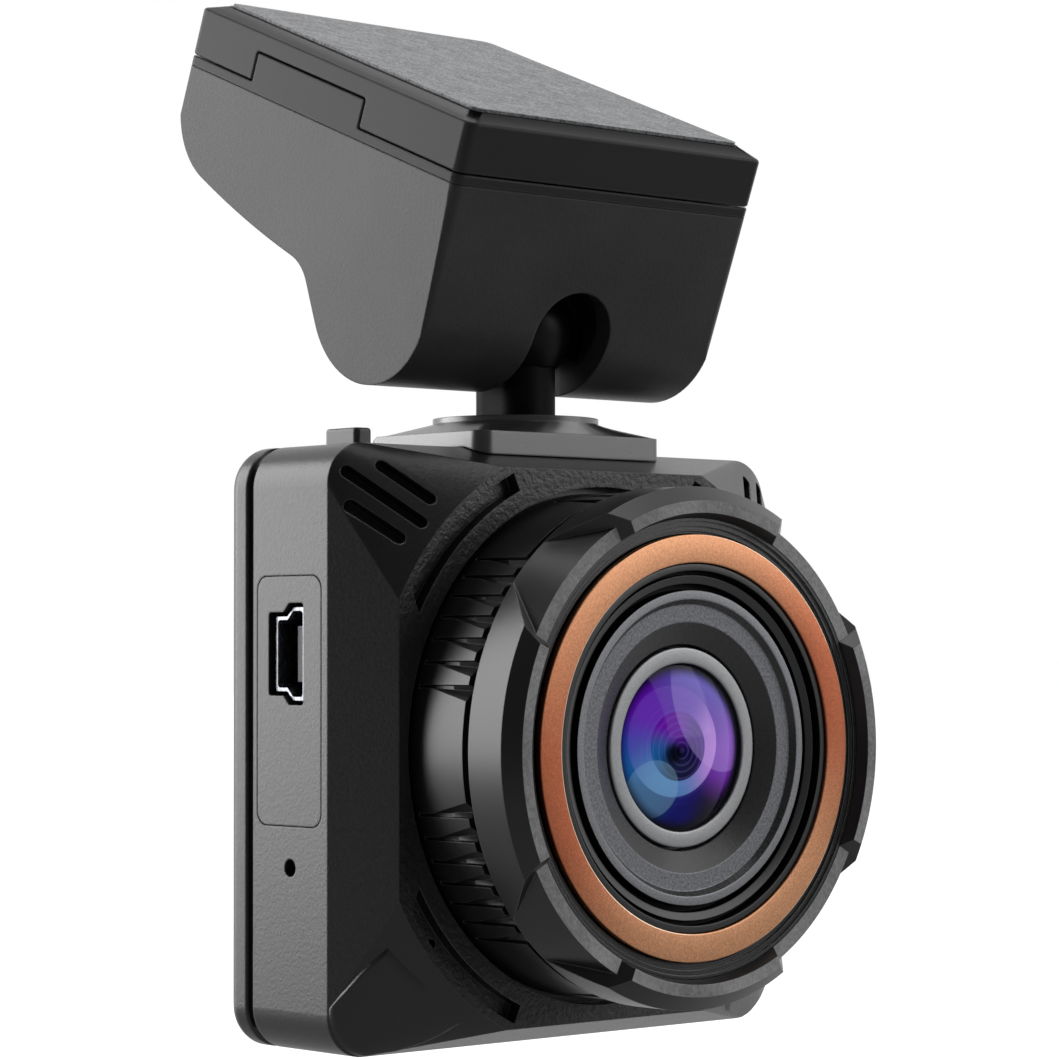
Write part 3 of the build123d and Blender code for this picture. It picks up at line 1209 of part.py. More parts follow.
power_stop = case_top - CASE_WALL - PANEL_GAP
with BuildPart() as power_button:
    with BuildSketch(level.offset(power_stop)):
        with Locations((power_across, -SHOE_AHEAD)):
            RectangleRounded(POWER_WIDTH, POWER_LENGTH, BUTTON_ROUND)
    extrude(amount=CASE_WALL + PANEL_GAP + POWER_RISE)
    chamfer(power_button.faces().sort_by(Axis.Z)[-1].edges(), BUTTON_GAP)
    with BuildSketch(level.offset(power_stop)):
        with Locations((power_across, -SHOE_AHEAD)):
            Rectangle(POWER_WIDTH + 2 * BUTTON_FLANGE, POWER_LENGTH + 2 * BUTTON_FLANGE)
    extrude(amount=-BUTTON_FLANGE)
power_switch_top = power_stop - BUTTON_FLANGE - BUTTON_TRAVEL - SWITCH_GAP
with BuildPart() as power_switch:
    with BuildSketch(camera.offset(PCB_FRONT)):
        with Locations((power_across, power_switch_top)):
            Rectangle(SWITCH_SIZE, SWITCH_SIZE, align=(Align.CENTER, Align.MAX))
    extrude(amount=SHOE_AHEAD + SWITCH_SIZE / 4 - PCB_FRONT)

reset_tip = left_face - CASE_WALL - BUTTON_GAP
with BuildPart() as reset_button:
    with BuildSketch(left_plane.offset(reset_tip)):
        with Locations((RESET_DEPTH, RESET_HEIGHT)):
            Circle(2 * RESET_HOLE - PANEL_GAP)
    extrude(amount=-SWITCH_SIZE / 2 - BUTTON_TRAVEL)
with BuildPart() as reset_switch:
    with BuildSketch(left_plane.offset(reset_tip - BUTTON_TRAVEL - SWITCH_GAP)):
        with Locations((PCB_FRONT, RESET_HEIGHT)):
            Rectangle(RESET_DEPTH + SWITCH_SIZE / 2 - PCB_FRONT, SWITCH_SIZE, align=(Align.MIN, Align.CENTER))
    extrude(amount=-RESET_SWITCH_LENGTH)
    with BuildSketch(left_plane.offset(reset_tip)):
        with Locations((RESET_DEPTH, RESET_HEIGHT)):
            Circle(2 * RESET_HOLE)
    extrude(amount=-SWITCH_SIZE / 2 - 2 * BUTTON_TRAVEL - SWITCH_GAP, mode=Mode.SUBTRACT)

# ================================================================ boards and what they carry
with BuildPart() as main_board:
    with BuildSketch(camera.offset(board_back)):
        with Locations((0, (board_top + board_low) / 2)):
            Rectangle(board_width, board_top - board_low)
        with Locations(*case_screw_places, *board_screw_places):
            Circle(CASE_SCREW_RADIUS + BUTTON_GAP, mode=Mode.SUBTRACT)
    extrude(amount=PCB_THICKNESS)

with BuildPart() as board_screws:
    with BuildSketch(camera.offset(board_back)):
        with Locations(*board_screw_places):
            Circle(CASE_SCREW_HEAD)
    extrude(amount=-CASE_SCREW_RADIUS)
    with BuildSketch(camera.offset(board_back)):
        with Locations(*board_screw_places):
            Circle(CASE_SCREW_RADIUS)
    extrude(amount=PCB_THICKNESS + SCREW_BITE - SCREW_SHORT)

sensor_front = SENSOR_BOARD_BACK + SENSOR_BOARD_THICKNESS
board_connector = block(camera, SENSOR_BOARD_SIZE / 2, SWITCH_SIZE, PCB_FRONT, SENSOR_BOARD_BACK)
sensor_board = block(camera, SENSOR_BOARD_SIZE, SENSOR_BOARD_SIZE, SENSOR_BOARD_BACK, sensor_front)
image_sensor = block(camera, SENSOR_WIDTH, SENSOR_HEIGHT, sensor_front, sensor_front + SENSOR_THICKNESS)
filter_back = FILTER_FRONT - FILTER_THICKNESS
light_filter = block(camera, FILTER_SIZE, FILTER_SIZE, filter_back, FILTER_FRONT)
with BuildPart() as lens_holder:
    with BuildSketch(camera.offset(sensor_front)):
        Rectangle(HOLDER_SIZE, HOLDER_SIZE)
    extrude(amount=FILTER_FRONT - sensor_front)
    with BuildSketch(camera.offset(sensor_front)):
        Circle(HOLDER_SIZE / 2)
    extrude(amount=HOLDER_FRONT - sensor_front)
    with BuildSketch(camera.offset(sensor_front)):
        Rectangle(FILTER_SIZE + RING_FIT, FILTER_SIZE + RING_FIT)
    extrude(amount=FILTER_FRONT - sensor_front, mode=Mode.SUBTRACT)
    with BuildSketch(camera.offset(sensor_front)):
        Circle(FILTER_APERTURE)
    extrude(amount=HOLDER_FRONT - sensor_front, mode=Mode.SUBTRACT)
    with BuildSketch(camera.offset(LENS_TUBE_BACK)):
        Circle(LENS_TUBE_RADIUS + RING_FIT)
    extrude(amount=HOLDER_FRONT - LENS_TUBE_BACK, mode=Mode.SUBTRACT)

processor = block(camera, CHIP_SIZE, CHIP_SIZE, PCB_FRONT, PCB_FRONT + CHIP_THICKNESS, CHIP_PLACE)
battery_cell = block(
    camera,
    BATTERY_WIDTH,
    BATTERY_HEIGHT,
    PCB_FRONT,
    PCB_FRONT + BATTERY_THICKNESS,
    (0, BATTERY_LIFT - case_top),
    BATTERY_CORNER,
)
with BuildPart() as microphone:
    with BuildSketch(camera.offset(PCB_FRONT)):
        with Locations(MICROPHONE_PLACE):
            Circle(MICROPHONE_RADIUS)
    extrude(amount=MICROPHONE_HEIGHT)
speaker_bottom = case_top - CASE_WALL
speaker = block(
    level,
    SPEAKER_WIDTH,
    SPEAKER_LENGTH,
    -speaker_bottom,
    -speaker_bottom + SPEAKER_THICKNESS,
    (SPEAKER_ACROSS, -SPEAKER_DEPTH),
)

card_tip = CASE_WIDTH / 2 + CARD_PROUD
card_left = card_tip - CARD_LENGTH
with BuildPart() as memory_card:
    with BuildSketch(left_plane.offset(-card_tip)):
        with Locations((CARD_DEPTH, CARD_HEIGHT)):
            Rectangle(CARD_THICKNESS, CARD_WIDTH)
    extrude(amount=CARD_LENGTH)
with BuildPart() as card_slot:
    slot_right = board_width / 2
    with BuildSketch(left_plane.offset(-slot_right)):
        with Locations((PCB_FRONT, CARD_HEIGHT)):
            Rectangle(SLOT_BODY_THICKNESS, SLOT_BODY_WIDTH, align=(Align.MIN, Align.CENTER))
    extrude(amount=slot_right - card_left + 2 * SLOT_BACK_WALL)
    with BuildSketch(left_plane.offset(-slot_right)):
        with Locations((CARD_DEPTH, CARD_HEIGHT)):
            Rectangle(CARD_THICKNESS + CARD_GAP, CARD_WIDTH + CARD_GAP)
    extrude(amount=slot_right - card_left + SLOT_BACK_WALL, mode=Mode.SUBTRACT)

# ================================================================ files
pieces = {
    "adhesive_pad": adhesive_pad,
    "adhesive_base": adhesive_base,
    "bracket_lid": bracket_lid,
    "bracket_housing": bracket_housing,
    "lid_screws": lid_screws,
    "socket_clamp": socket_clamp,
    "clamp_screws": clamp_screws,
    "friction_cup": friction_cup,
    "pivot_ball": pivot_ball,
    "arm_post": arm_post,
    "mount_shoe": mount_shoe,
    "shoe_screw": shoe_screw,
    "front_shell": front_shell,
    "rib_ring": rib_ring,
    "bezel_ring": bezel_ring,
    "step_ring": step_ring,
    "copper_ring": copper_ring,
    "lens_surround": lens_surround,
    "lens_tube": lens_tube,
    "lens_ring": lens_ring,
    "front_lens": front_lens,
    "middle_lens": middle_lens,
    "rear_lens": rear_lens,
    "rear_cover": rear_cover,
    "case_screws": case_screws,
    "screen_window": screen_window,
    "display_panel": display_panel,
    "display_frame": display_frame,
    "key_switches": key_switches,
    "side_panel": side_panel,
    "usb_shell": usb_shell,
    "usb_tongue": usb_tongue,
    "usb_pins": usb_pins,
    "power_button": power_button,
    "power_switch": power_switch,
    "reset_button": reset_button,
    "reset_switch": reset_switch,
    "main_board": main_board,
    "board_screws": board_screws,
    "board_connector": board_connector,
    "sensor_board": sensor_board,
    "image_sensor": image_sensor,
    "light_filter": light_filter,
    "lens_holder": lens_holder,
    "processor": processor,
    "battery_cell": battery_cell,
    "microphone": microphone,
    "speaker": speaker,
    "memory_card": memory_card,
    "card_slot": card_slot,
}
pieces.update(zip(key_names, keys))
for name, builder in pieces.items():
    save(name, builder)
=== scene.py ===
"""Looks of a square dash camera that hangs from a windscreen bracket, built round its CAD frame."""

import json
import logging
from collections.abc import Callable
from dataclasses import dataclass
from enum import Enum
from math import atan2, cos, degrees, hypot, pi, radians, sin, sqrt

import bmesh
import bpy
from mathutils import Matrix, Vector
from mathutils.bvhtree import BVHTree

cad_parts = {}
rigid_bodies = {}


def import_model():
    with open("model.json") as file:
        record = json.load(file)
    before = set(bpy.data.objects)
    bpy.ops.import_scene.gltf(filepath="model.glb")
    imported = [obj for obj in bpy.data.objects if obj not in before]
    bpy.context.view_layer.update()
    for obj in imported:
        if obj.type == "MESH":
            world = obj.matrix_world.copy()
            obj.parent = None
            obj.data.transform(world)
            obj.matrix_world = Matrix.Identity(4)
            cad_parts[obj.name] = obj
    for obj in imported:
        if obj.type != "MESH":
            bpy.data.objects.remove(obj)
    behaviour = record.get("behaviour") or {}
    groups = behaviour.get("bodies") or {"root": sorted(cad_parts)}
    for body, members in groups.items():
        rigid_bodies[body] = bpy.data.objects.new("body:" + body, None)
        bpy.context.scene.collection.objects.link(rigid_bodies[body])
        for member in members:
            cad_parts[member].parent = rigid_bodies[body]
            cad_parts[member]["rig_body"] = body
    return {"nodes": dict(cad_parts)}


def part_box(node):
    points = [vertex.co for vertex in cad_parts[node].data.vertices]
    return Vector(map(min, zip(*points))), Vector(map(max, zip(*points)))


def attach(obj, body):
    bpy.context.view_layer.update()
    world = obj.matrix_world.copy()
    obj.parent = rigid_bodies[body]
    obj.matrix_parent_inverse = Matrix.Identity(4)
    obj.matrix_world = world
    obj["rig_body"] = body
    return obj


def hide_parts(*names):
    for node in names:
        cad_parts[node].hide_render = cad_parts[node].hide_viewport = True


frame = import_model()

LOG = logging.getLogger("dash_camera")
MM = 0.001
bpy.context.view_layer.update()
NODES = frame["nodes"]
Value = float | tuple | Vector | bpy.types.NodeSocket


# ================================================================ small helpers
def linear(code: str, alpha: float = 1.0) -> tuple[float, float, float, float]:
    """Turns an sRGB hex colour into Blender's linear one.

    Args:
        code: Six hex digits after a hash.
        alpha: The fourth value.

    Returns:
        Red, green, blue and alpha from 0 to 1.
    """
    parts = [int(code[i : i + 2], 16) / 255 for i in (1, 3, 5)]
    red, green, blue = (p / 12.92 if p <= 0.04045 else ((p + 0.055) / 1.055) ** 2.4 for p in parts)
    return red, green, blue, alpha


def feed(node: bpy.types.Node, inputs: dict[int | str, Value]) -> None:
    """Gives a node's inputs their values.

    Args:
        node: The node.
        inputs: A value, or the socket that feeds the input, by input name or number.
    """
    for key, value in inputs.items():
        if isinstance(value, bpy.types.NodeSocket):
            node.id_data.links.new(value, node.inputs[key])
        else:
            node.inputs[key].default_value = value


def add_node(tree: bpy.types.NodeTree, kind: str, settings: dict | None = None) -> bpy.types.Node:
    """Adds one node to a shader or geometry tree.

    Args:
        tree: The tree that gets the node.
        kind: The node's type.
        settings: Values or sockets by input name or number, and values of the node's own attributes.

    Returns:
        The new node.
    """
    node = tree.nodes.new(kind)
    inputs = {}
    for key, value in (settings or {}).items():
        if isinstance(key, int) or key in node.inputs:
            inputs[key] = value
        else:
            setattr(node, key, value)
    feed(node, inputs)
    return node


def mesh_object(name: str, shape: bmesh.types.BMesh) -> bpy.types.Object:
    """Turns a finished bmesh into a shown object at the origin, and frees the bmesh.

    Args:
        name: The piece's name.
        shape: The mesh, in metres and in the frame's own place.

    Returns:
        The new object.
    """
    mesh = bpy.data.meshes.new(name)
    shape.to_mesh(mesh)
    shape.free()
    piece = bpy.data.objects.new(name, mesh)
    bpy.context.scene.collection.objects.link(piece)
    return piece


def smooth(piece: bpy.types.Object, angle: float = 28.0) -> bpy.types.Object:
    """Shades a piece smooth but for its sharp edges.

    Args:
        piece: The piece.
        angle: The least angle between two faces that stays sharp, in degrees.

    Returns:
        The same piece.
    """
    piece.data.shade_smooth()
    piece.data.set_sharp_from_angle(angle=radians(angle))
    return piece


def settled(piece: bpy.types.Object) -> bpy.types.Object:
    """Turns what a piece's modifiers make into its own mesh and takes the modifiers off.

    Args:
        piece: An object with live modifiers.

    Returns:
        The same object with a plain mesh.
    """
    graph = bpy.context.evaluated_depsgraph_get()
    shown = piece.evaluated_get(graph)
    made = bpy.data.meshes.new_from_object(shown, preserve_all_data_layers=True, depsgraph=graph)
    piece.modifiers.clear()
    old = piece.data
    piece.data = made
    bpy.data.meshes.remove(old)
    return piece


def rounded(
    piece: bpy.types.Object, width: float, segments: int = 3, angle: float = 28.0
) -> bpy.types.Object:
    """Rounds a piece's sharp edges with a real bevel.

    Args:
        piece: The piece.
        width: The bevel's width in millimetres.
        segments: How many faces go across it.
        angle: The least angle between two faces that counts as sharp, in degrees.

    Returns:
        The same piece with its plain, smooth-shaded mesh.
    """
    bevel = piece.modifiers.new("round", "BEVEL")
    bevel.width = width * MM
    bevel.segments = segments
    bevel.limit_method = "ANGLE"
    bevel.angle_limit = radians(angle)
    bevel.use_clamp_overlap = False
    bevel.miter_outer = "MITER_ARC"
    flat = piece.modifiers.new("flat", "WEIGHTED_NORMAL")
    flat.mode = "FACE_AREA"
    flat.weight = 100
    piece.data.shade_smooth()
    return settled(piece)


def carried(piece: bpy.types.Object, body: str, *nodes: str) -> bpy.types.Object:
    """Puts a piece on a body and hides the CAD nodes that it replaces.

    Args:
        piece: The finished piece.
        body: The CAD body that carries it.
        nodes: The CAD nodes that it replaces.

    Returns:
        The same piece.
    """
    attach(piece, body)
    if nodes:
        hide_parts(*nodes)
    LOG.info("%s rides on %s", piece.name, body)
    return piece


def paint(piece: bpy.types.Object, *materials: bpy.types.Material) -> None:
    """Gives a piece its materials, in slot order.

    Args:
        piece: The piece or CAD node.
        materials: One material for each slot.
    """
    slots = [min(face.material_index, len(materials) - 1) for face in piece.data.polygons]
    piece.data.materials.clear()
    for material in materials:
        piece.data.materials.append(material)
    piece.data.polygons.foreach_set("material_index", slots)


def refined(node: str, width: float, segments: int = 3, angle: float = 28.0) -> bpy.types.Object:
    """Copies a CAD node, joins its loose triangles into whole faces and rounds its edges.

    Args:
        node: The CAD node that the piece stands for.
        width: The bevel's width in millimetres.
        segments: How many faces go across the bevel.
        angle: The least angle that counts as an edge, in degrees.

    Returns:
        The new piece, which already replaces the node and rides on its body.
    """
    source = NODES[node]
    shape = bmesh.new()
    shape.from_mesh(source.data)
    bmesh.ops.remove_doubles(shape, verts=shape.verts, dist=2e-6)
    bmesh.ops.dissolve_limit(shape, angle_limit=radians(0.5), verts=shape.verts, edges=shape.edges)
    piece = mesh_object(f"{node}.fine", shape)
    rounded(piece, width, segments, angle)
    return carried(piece, source["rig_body"], node)


def zoned(node: str, zone_of: Callable[[Vector, Vector], int]) -> bpy.types.Object:
    """Copies a CAD node with its own smooth shading and sorts its faces into material slots.

    Args:
        node: The CAD node that the piece stands for.
        zone_of: Gives a slot number for a face's middle and normal.

    Returns:
        The new piece, which already replaces the node and rides on its body.
    """
    source = NODES[node]
    piece = bpy.data.objects.new(f"{node}.fine", source.data.copy())
    bpy.context.scene.collection.objects.link(piece)
    piece.data.materials.clear()
    for face in piece.data.polygons:
        face.material_index = zone_of(face.center, face.normal)
    return carried(piece, source["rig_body"], node)


def skinned(shape: bmesh.types.BMesh, rows: list[list[bmesh.types.BMVert]]) -> None:
    """Lays faces between each row of points round an axis and the next one.

    Args:
        shape: The mesh.
        rows: Rings of points, each as long as the others, or one point on the axis.
    """
    for near, far in zip(rows, rows[1:]):
        steps = max(len(near), len(far))
        for step in range(steps if steps > 1 else 0):
            after = step + 1
            corners = [near[step % len(near)], near[after % len(near)]]
            corners += [far[after % len(far)], far[step % len(far)]]
            shape.faces.new(list(dict.fromkeys(corners)))


def turned(
    name: str, centre: Vector, outline: list[tuple[float, float]], steps: int = 192
) -> bpy.types.Object:
    """Turns an outline once round the barrel axis.

    Args:
        name: The piece's name.
        centre: The point on the axis where depth is 0, in metres.
        outline: Points as (radius, depth towards the lens), in millimetres, round the section.
        steps: How many flats go round.

    Returns:
        The closed ring or disc with its faces outwards and its sharp edges kept.
    """
    shape = bmesh.new()
    rows = []
    for radius, depth in outline:
        count = 1 if radius == 0 else steps
        rows.append([
            shape.verts.new(centre + Vector((cos(turn) * radius, -depth, sin(turn) * radius)) * MM)
            for turn in (2 * pi * step / steps for step in range(count))
        ])
    skinned(shape, rows + rows[:1])
    bmesh.ops.recalc_face_normals(shape, faces=shape.faces)
    return smooth(mesh_object(name, shape), 24)


def softened(outline: list[tuple[float, float]], radius: float, steps: int = 4) -> list[tuple[float, float]]:
    """Rounds every corner of a closed outline.

    Args:
        outline: Corner points in millimetres.
        radius: How far from each corner its rounding starts, where the sides are long enough.
        steps: Points in each rounding.

    Returns:
        The longer list of points.
    """
    made = []
    for before, corner, after in zip(outline[-1:] + outline[:-1], outline, outline[1:] + outline[:1]):
        ends = []
        for other in (before, after):
            reach = hypot(other[0] - corner[0], other[1] - corner[1])
            share = min(radius, reach * 0.45) / reach
            ends.append([c + (o - c) * share for c, o in zip(corner, other)])
        for step in range(steps + 1):
            t = step / steps
            made.append(tuple(
                (1 - t) ** 2 * a + 2 * t * (1 - t) * c + t**2 * b
                for a, c, b in zip(ends[0], corner, ends[1])
            ))
    return made


# ================================================================ repeats
@dataclass(frozen=True)
class Repeat:
    """Geometry Nodes that set copies of a small shape in a row or round the barrel axis."""

    name: str
    count: int
    start: Vector                    # first copy's place, in metres
    step: Vector                     # from one copy to the next, in metres
    first_turn: float = 0.0          # about +Y, in degrees
    pitch: float = 0.0               # further turn from one copy to the next, in degrees

    def tree(self) -> bpy.types.NodeTree:
        """Builds the node tree with its named inputs.

        Returns:
            The geometry tree.
        """
        tree = bpy.data.node_groups.new(self.name, "GeometryNodeTree")
        face = tree.interface
        face.new_socket("Geometry", in_out="INPUT", socket_type="NodeSocketGeometry")
        for label, kind in (
            ("Count", "NodeSocketInt"), ("Start", "NodeSocketVector"), ("Step", "NodeSocketVector"),
            ("First Turn", "NodeSocketFloat"), ("Pitch", "NodeSocketFloat"), ("Finish", "NodeSocketMaterial"),
        ):
            face.new_socket(label, in_out="INPUT", socket_type=kind)
        face.new_socket("Geometry", in_out="OUTPUT", socket_type="NodeSocketGeometry")
        given = add_node(tree, "NodeGroupInput").outputs
        row = add_node(tree, "GeometryNodeMeshLine", {
            "mode": "OFFSET", "Count": given["Count"],
            "Start Location": given["Start"], "Offset": given["Step"],
        })
        number = add_node(tree, "GeometryNodeInputIndex").outputs[0]
        angle = add_node(tree, "ShaderNodeMath", {
            "operation": "MULTIPLY_ADD", 0: number, 1: given["Pitch"], 2: given["First Turn"],
        })
        turn = add_node(tree, "ShaderNodeCombineXYZ", {"Y": angle.outputs[0]})
        copies = add_node(tree, "GeometryNodeInstanceOnPoints", {
            "Points": row.outputs["Mesh"], "Instance": given["Geometry"], "Rotation": turn.outputs[0],
        })
        real = add_node(tree, "GeometryNodeRealizeInstances", {"Geometry": copies.outputs["Instances"]})
        dressed = add_node(
            tree, "GeometryNodeSetMaterial", {"Geometry": real.outputs[0], "Material": given["Finish"]}
        )
        add_node(tree, "NodeGroupOutput", {"Geometry": dressed.outputs[0]})
        return tree

    def grown(self, piece: bpy.types.Object, finish: bpy.types.Material) -> bpy.types.Object:
        """Repeats a piece's own mesh.

        Args:
            piece: One copy, built about the origin.
            finish: The material that the copies get.

        Returns:
            The same object with the copies as its plain mesh.
        """
        tree = self.tree()
        maker = piece.modifiers.new(self.name, "NODES")
        maker.node_group = tree
        values = {
            "Count": self.count, "Start": self.start, "Step": self.step, "Finish": finish,
            "First Turn": radians(self.first_turn), "Pitch": radians(self.pitch),
        }
        for item in tree.interface.items_tree:
            if item.in_out == "INPUT" and item.name in values:
                maker[item.identifier] = values[item.name]
        return settled(piece)


def joined(name: str, pieces: list[bpy.types.Object], merge: float = 2e-6) -> bpy.types.Object:
    """Joins several pieces into one mesh and merges the points that they share.

    Args:
        name: The new piece's name.
        pieces: The pieces, which are used up.
        merge: How near two points must be to become one, in metres.

    Returns:
        The joined piece.
    """
    shape = bmesh.new()
    for piece in pieces:
        shape.from_mesh(piece.data)
        old = piece.data
        bpy.data.objects.remove(piece)
        bpy.data.meshes.remove(old)
    bmesh.ops.remove_doubles(shape, verts=shape.verts, dist=merge)
    bmesh.ops.recalc_face_normals(shape, faces=shape.faces)
    return mesh_object(name, shape)


# ================================================================ finishes
class Grain(Enum):
    """What the mould's wall, or a tool, leaves on a surface: grain size and relief in millimetres."""

    SATIN = (0.16, 0.004)
    ETCHED = (0.3, 0.012)
    SPARKED = (0.36, 0.045)
    PEBBLED = (0.5, 0.09)
    PEBBLED_FINE = (0.3, 0.018)
    WAXY = (0.5, 0.0012)
    POLISHED = (6.0, 0.010)


@dataclass(frozen=True)
class Weave:
    """A shader tree under construction, with a short call for each kind of node that the finishes share."""

    tree: bpy.types.NodeTree
    place: bpy.types.NodeSocket      # the coordinates that its patterns lie in

    @classmethod
    def on(cls, tree: bpy.types.NodeTree, coordinates: str = "Object") -> "Weave":
        """Starts on a tree.

        Args:
            tree: The material's or the world's tree.
            coordinates: Which coordinates the patterns lie in.

        Returns:
            The weave.
        """
        return cls(tree, add_node(tree, "ShaderNodeTexCoord").outputs[coordinates])

    def math(self, operation: str, *values: Value) -> bpy.types.NodeSocket:
        """Does a sum on numbers."""
        settings = {"operation": operation, **dict(enumerate(values))}
        return add_node(self.tree, "ShaderNodeMath", settings).outputs[0]

    def vector(self, operation: str, *values: Value) -> bpy.types.NodeSocket:
        """Does a sum on vectors, and gives the number or the vector that it makes."""
        settings = {"operation": operation, **dict(enumerate(values))}
        node = add_node(self.tree, "ShaderNodeVectorMath", settings)
        return node.outputs["Value" if operation in ("DOT_PRODUCT", "DISTANCE", "LENGTH") else "Vector"]

    def scaled(self, colour: Value, factor: bpy.types.NodeSocket) -> bpy.types.NodeSocket:
        """Makes a colour lighter or darker."""
        settings = {"operation": "SCALE", 0: colour, "Scale": factor}
        return add_node(self.tree, "ShaderNodeVectorMath", settings).outputs["Vector"]

    def ranged(
        self, value: bpy.types.NodeSocket, start: float = 0.0, end: float = 1.0,
        low: float = 0.0, high: float = 1.0, soft: bool = False,
    ) -> bpy.types.NodeSocket:
        """Maps a value from one range to another.

        Args:
            value: The value.
            start: The value that gives low.
            end: The value that gives high.
            low: The result at the start and before it.
            high: The result at the end and past it.
            soft: True to ease in and out.

        Returns:
            The mapped value.
        """
        node = add_node(self.tree, "ShaderNodeMapRange", {
            "interpolation_type": "SMOOTHSTEP" if soft else "LINEAR", "Value": value,
            "From Min": start, "From Max": end, "To Min": low, "To Max": high,
        })
        return node.outputs["Result"]

    def noise(
        self, size: float, detail: float, roughness: float = 0.5, place: bpy.types.NodeSocket | None = None
    ) -> bpy.types.NodeSocket:
        """Adds noise whose spots have a size in millimetres."""
        node = add_node(self.tree, "ShaderNodeTexNoise", {
            "Scale": 1 / (size * MM), "Detail": detail, "Roughness": roughness, "Vector": place or self.place,
        })
        return node.outputs["Fac"]

    def blend(self, share: Value, below: Value, above: Value) -> bpy.types.NodeSocket:
        """Mixes two colours: the first where the share is 0, the second where it is 1."""
        settings = {"data_type": "RGBA", 0: share, 6: below, 7: above}
        return add_node(self.tree, "ShaderNodeMix", settings).outputs[2]

    def mapped(self, **settings: tuple) -> bpy.types.NodeSocket:
        """Moves, turns or stretches the coordinates."""
        return add_node(self.tree, "ShaderNodeMapping", {"Vector": self.place, **settings}).outputs["Vector"]

    def rounding(self, radius: float) -> bpy.types.NodeSocket:
        """Gives the normal of edges that are softened by a radius in millimetres."""
        settings = {"samples": 4, "Radius": radius * MM}
        return add_node(self.tree, "ShaderNodeBevel", settings).outputs["Normal"]

    def relief(
        self, height: bpy.types.NodeSocket, depth: float, strength: float = 1.0,
        normal: bpy.types.NodeSocket | None = None,
    ) -> bpy.types.NodeSocket:
        """Turns a height into a bumpy normal; the depth is in millimetres."""
        settings = {"Strength": strength, "Distance": depth * MM, "Height": height}
        if normal:
            settings["Normal"] = normal
        return add_node(self.tree, "ShaderNodeBump", settings).outputs["Normal"]

    def rays(self) -> tuple[bpy.types.NodeSocket, bpy.types.NodeSocket]:
        """Gives 1 for what the camera sees at once, and 1 for what it sees in or through a surface."""
        path = add_node(self.tree, "ShaderNodeLightPath").outputs
        return path["Is Camera Ray"], self.math("MAXIMUM", path["Is Glossy Ray"], path["Is Transmission Ray"])


@dataclass(frozen=True)
class Finish:
    """A surface that a material is built for."""

    name: str

    def material(self) -> bpy.types.Material:
        """Builds the material.

        Returns:
            The material with its node tree.
        """
        made = bpy.data.materials.new(self.name)
        made.use_nodes = True
        feed(made.node_tree.nodes["Principled BSDF"], self.woven(Weave.on(made.node_tree)))
        return made

    def woven(self, weave: Weave) -> dict[str, Value]:
        """Builds what feeds the shader.

        Args:
            weave: The material's tree.

        Returns:
            Values or sockets by the shader's input.
        """
        raise NotImplementedError


@dataclass(frozen=True)
class MouldedPlastic(Finish):
    """Injection-moulded plastic: the mould's grain, edges made brighter by handling wear and painted highlight,
    a tone that wanders.
    """

    colour: str
    roughness: float
    grain: Grain = Grain.ETCHED
    edge: str = "#45464a"        # edge colour: handling wear and painted highlight
    edge_radius: float = 0.15    # soft edge in millimetres
    edge_share: float = 0.5
    mottle: float = 0.1          # how far the tone wanders
    coat: float = 0.0
    ior: float = 1.5
    cloud: float = 9.0           # size of the broad patches, in millimetres
    gloss_spread: float = 0.06

    def woven(self, weave: Weave) -> dict[str, Value]:
        """Builds what feeds the shader: see Finish."""
        size, relief = self.grain.value
        soft = weave.rounding(self.edge_radius)
        face = add_node(weave.tree, "ShaderNodeNewGeometry").outputs["Normal"]
        # edges lightened: partly handling wear, partly painted highlight
        wear_and_highlight = weave.ranged(weave.vector("DOT_PRODUCT", soft, face), 0.99, 0.75, 0.0, self.edge_share)
        grain = weave.noise(size, 3.0, 0.6)
        speck = weave.math("MULTIPLY_ADD", grain, 0.6, weave.noise(self.cloud, 2.0))
        tone = weave.ranged(speck, 0.5, 1.1, 1 - self.mottle, 1 + self.mottle)
        base = weave.scaled(linear(self.colour)[:3], tone)
        low, high = max(self.roughness - self.gloss_spread, 0.02), self.roughness + self.gloss_spread
        return {
            "Base Color": weave.blend(wear_and_highlight, base, linear(self.edge)),
            "Roughness": weave.ranged(grain, low=low, high=high),
            "Normal": weave.relief(grain, relief, normal=soft),
            "IOR": self.ior, "Coat Weight": self.coat, "Coat Roughness": 0.08,
        }


@dataclass(frozen=True)
class FinishedMetal(Finish):
    """Metal that was blasted, rolled or plated: fine specks of a lighter and a darker tone."""

    colour: str
    shade: str
    roughness: float
    grain: float = 0.12          # speck size in millimetres
    depth: float = 0.004         # of the specks, in millimetres
    edge_radius: float = 0.08
    stretch: tuple[float, float, float] = (1.0, 1.0, 1.0)   # below 1 along the rolling marks
    gloss_spread: float = 0.07

    def woven(self, weave: Weave) -> dict[str, Value]:
        """Builds what feeds the shader: see Finish."""
        soft = weave.rounding(self.edge_radius)
        grain = weave.noise(self.grain, 2.0, place=weave.mapped(Scale=self.stretch))
        low, high = max(self.roughness - self.gloss_spread, 0.03), self.roughness + self.gloss_spread
        return {
            "Metallic": 1.0,
            "Base Color": weave.blend(weave.ranged(grain, 0.35, 0.65), linear(self.shade), linear(self.colour)),
            "Roughness": weave.ranged(grain, low=low, high=high),
            "Normal": weave.relief(grain, self.depth, normal=soft),
        }


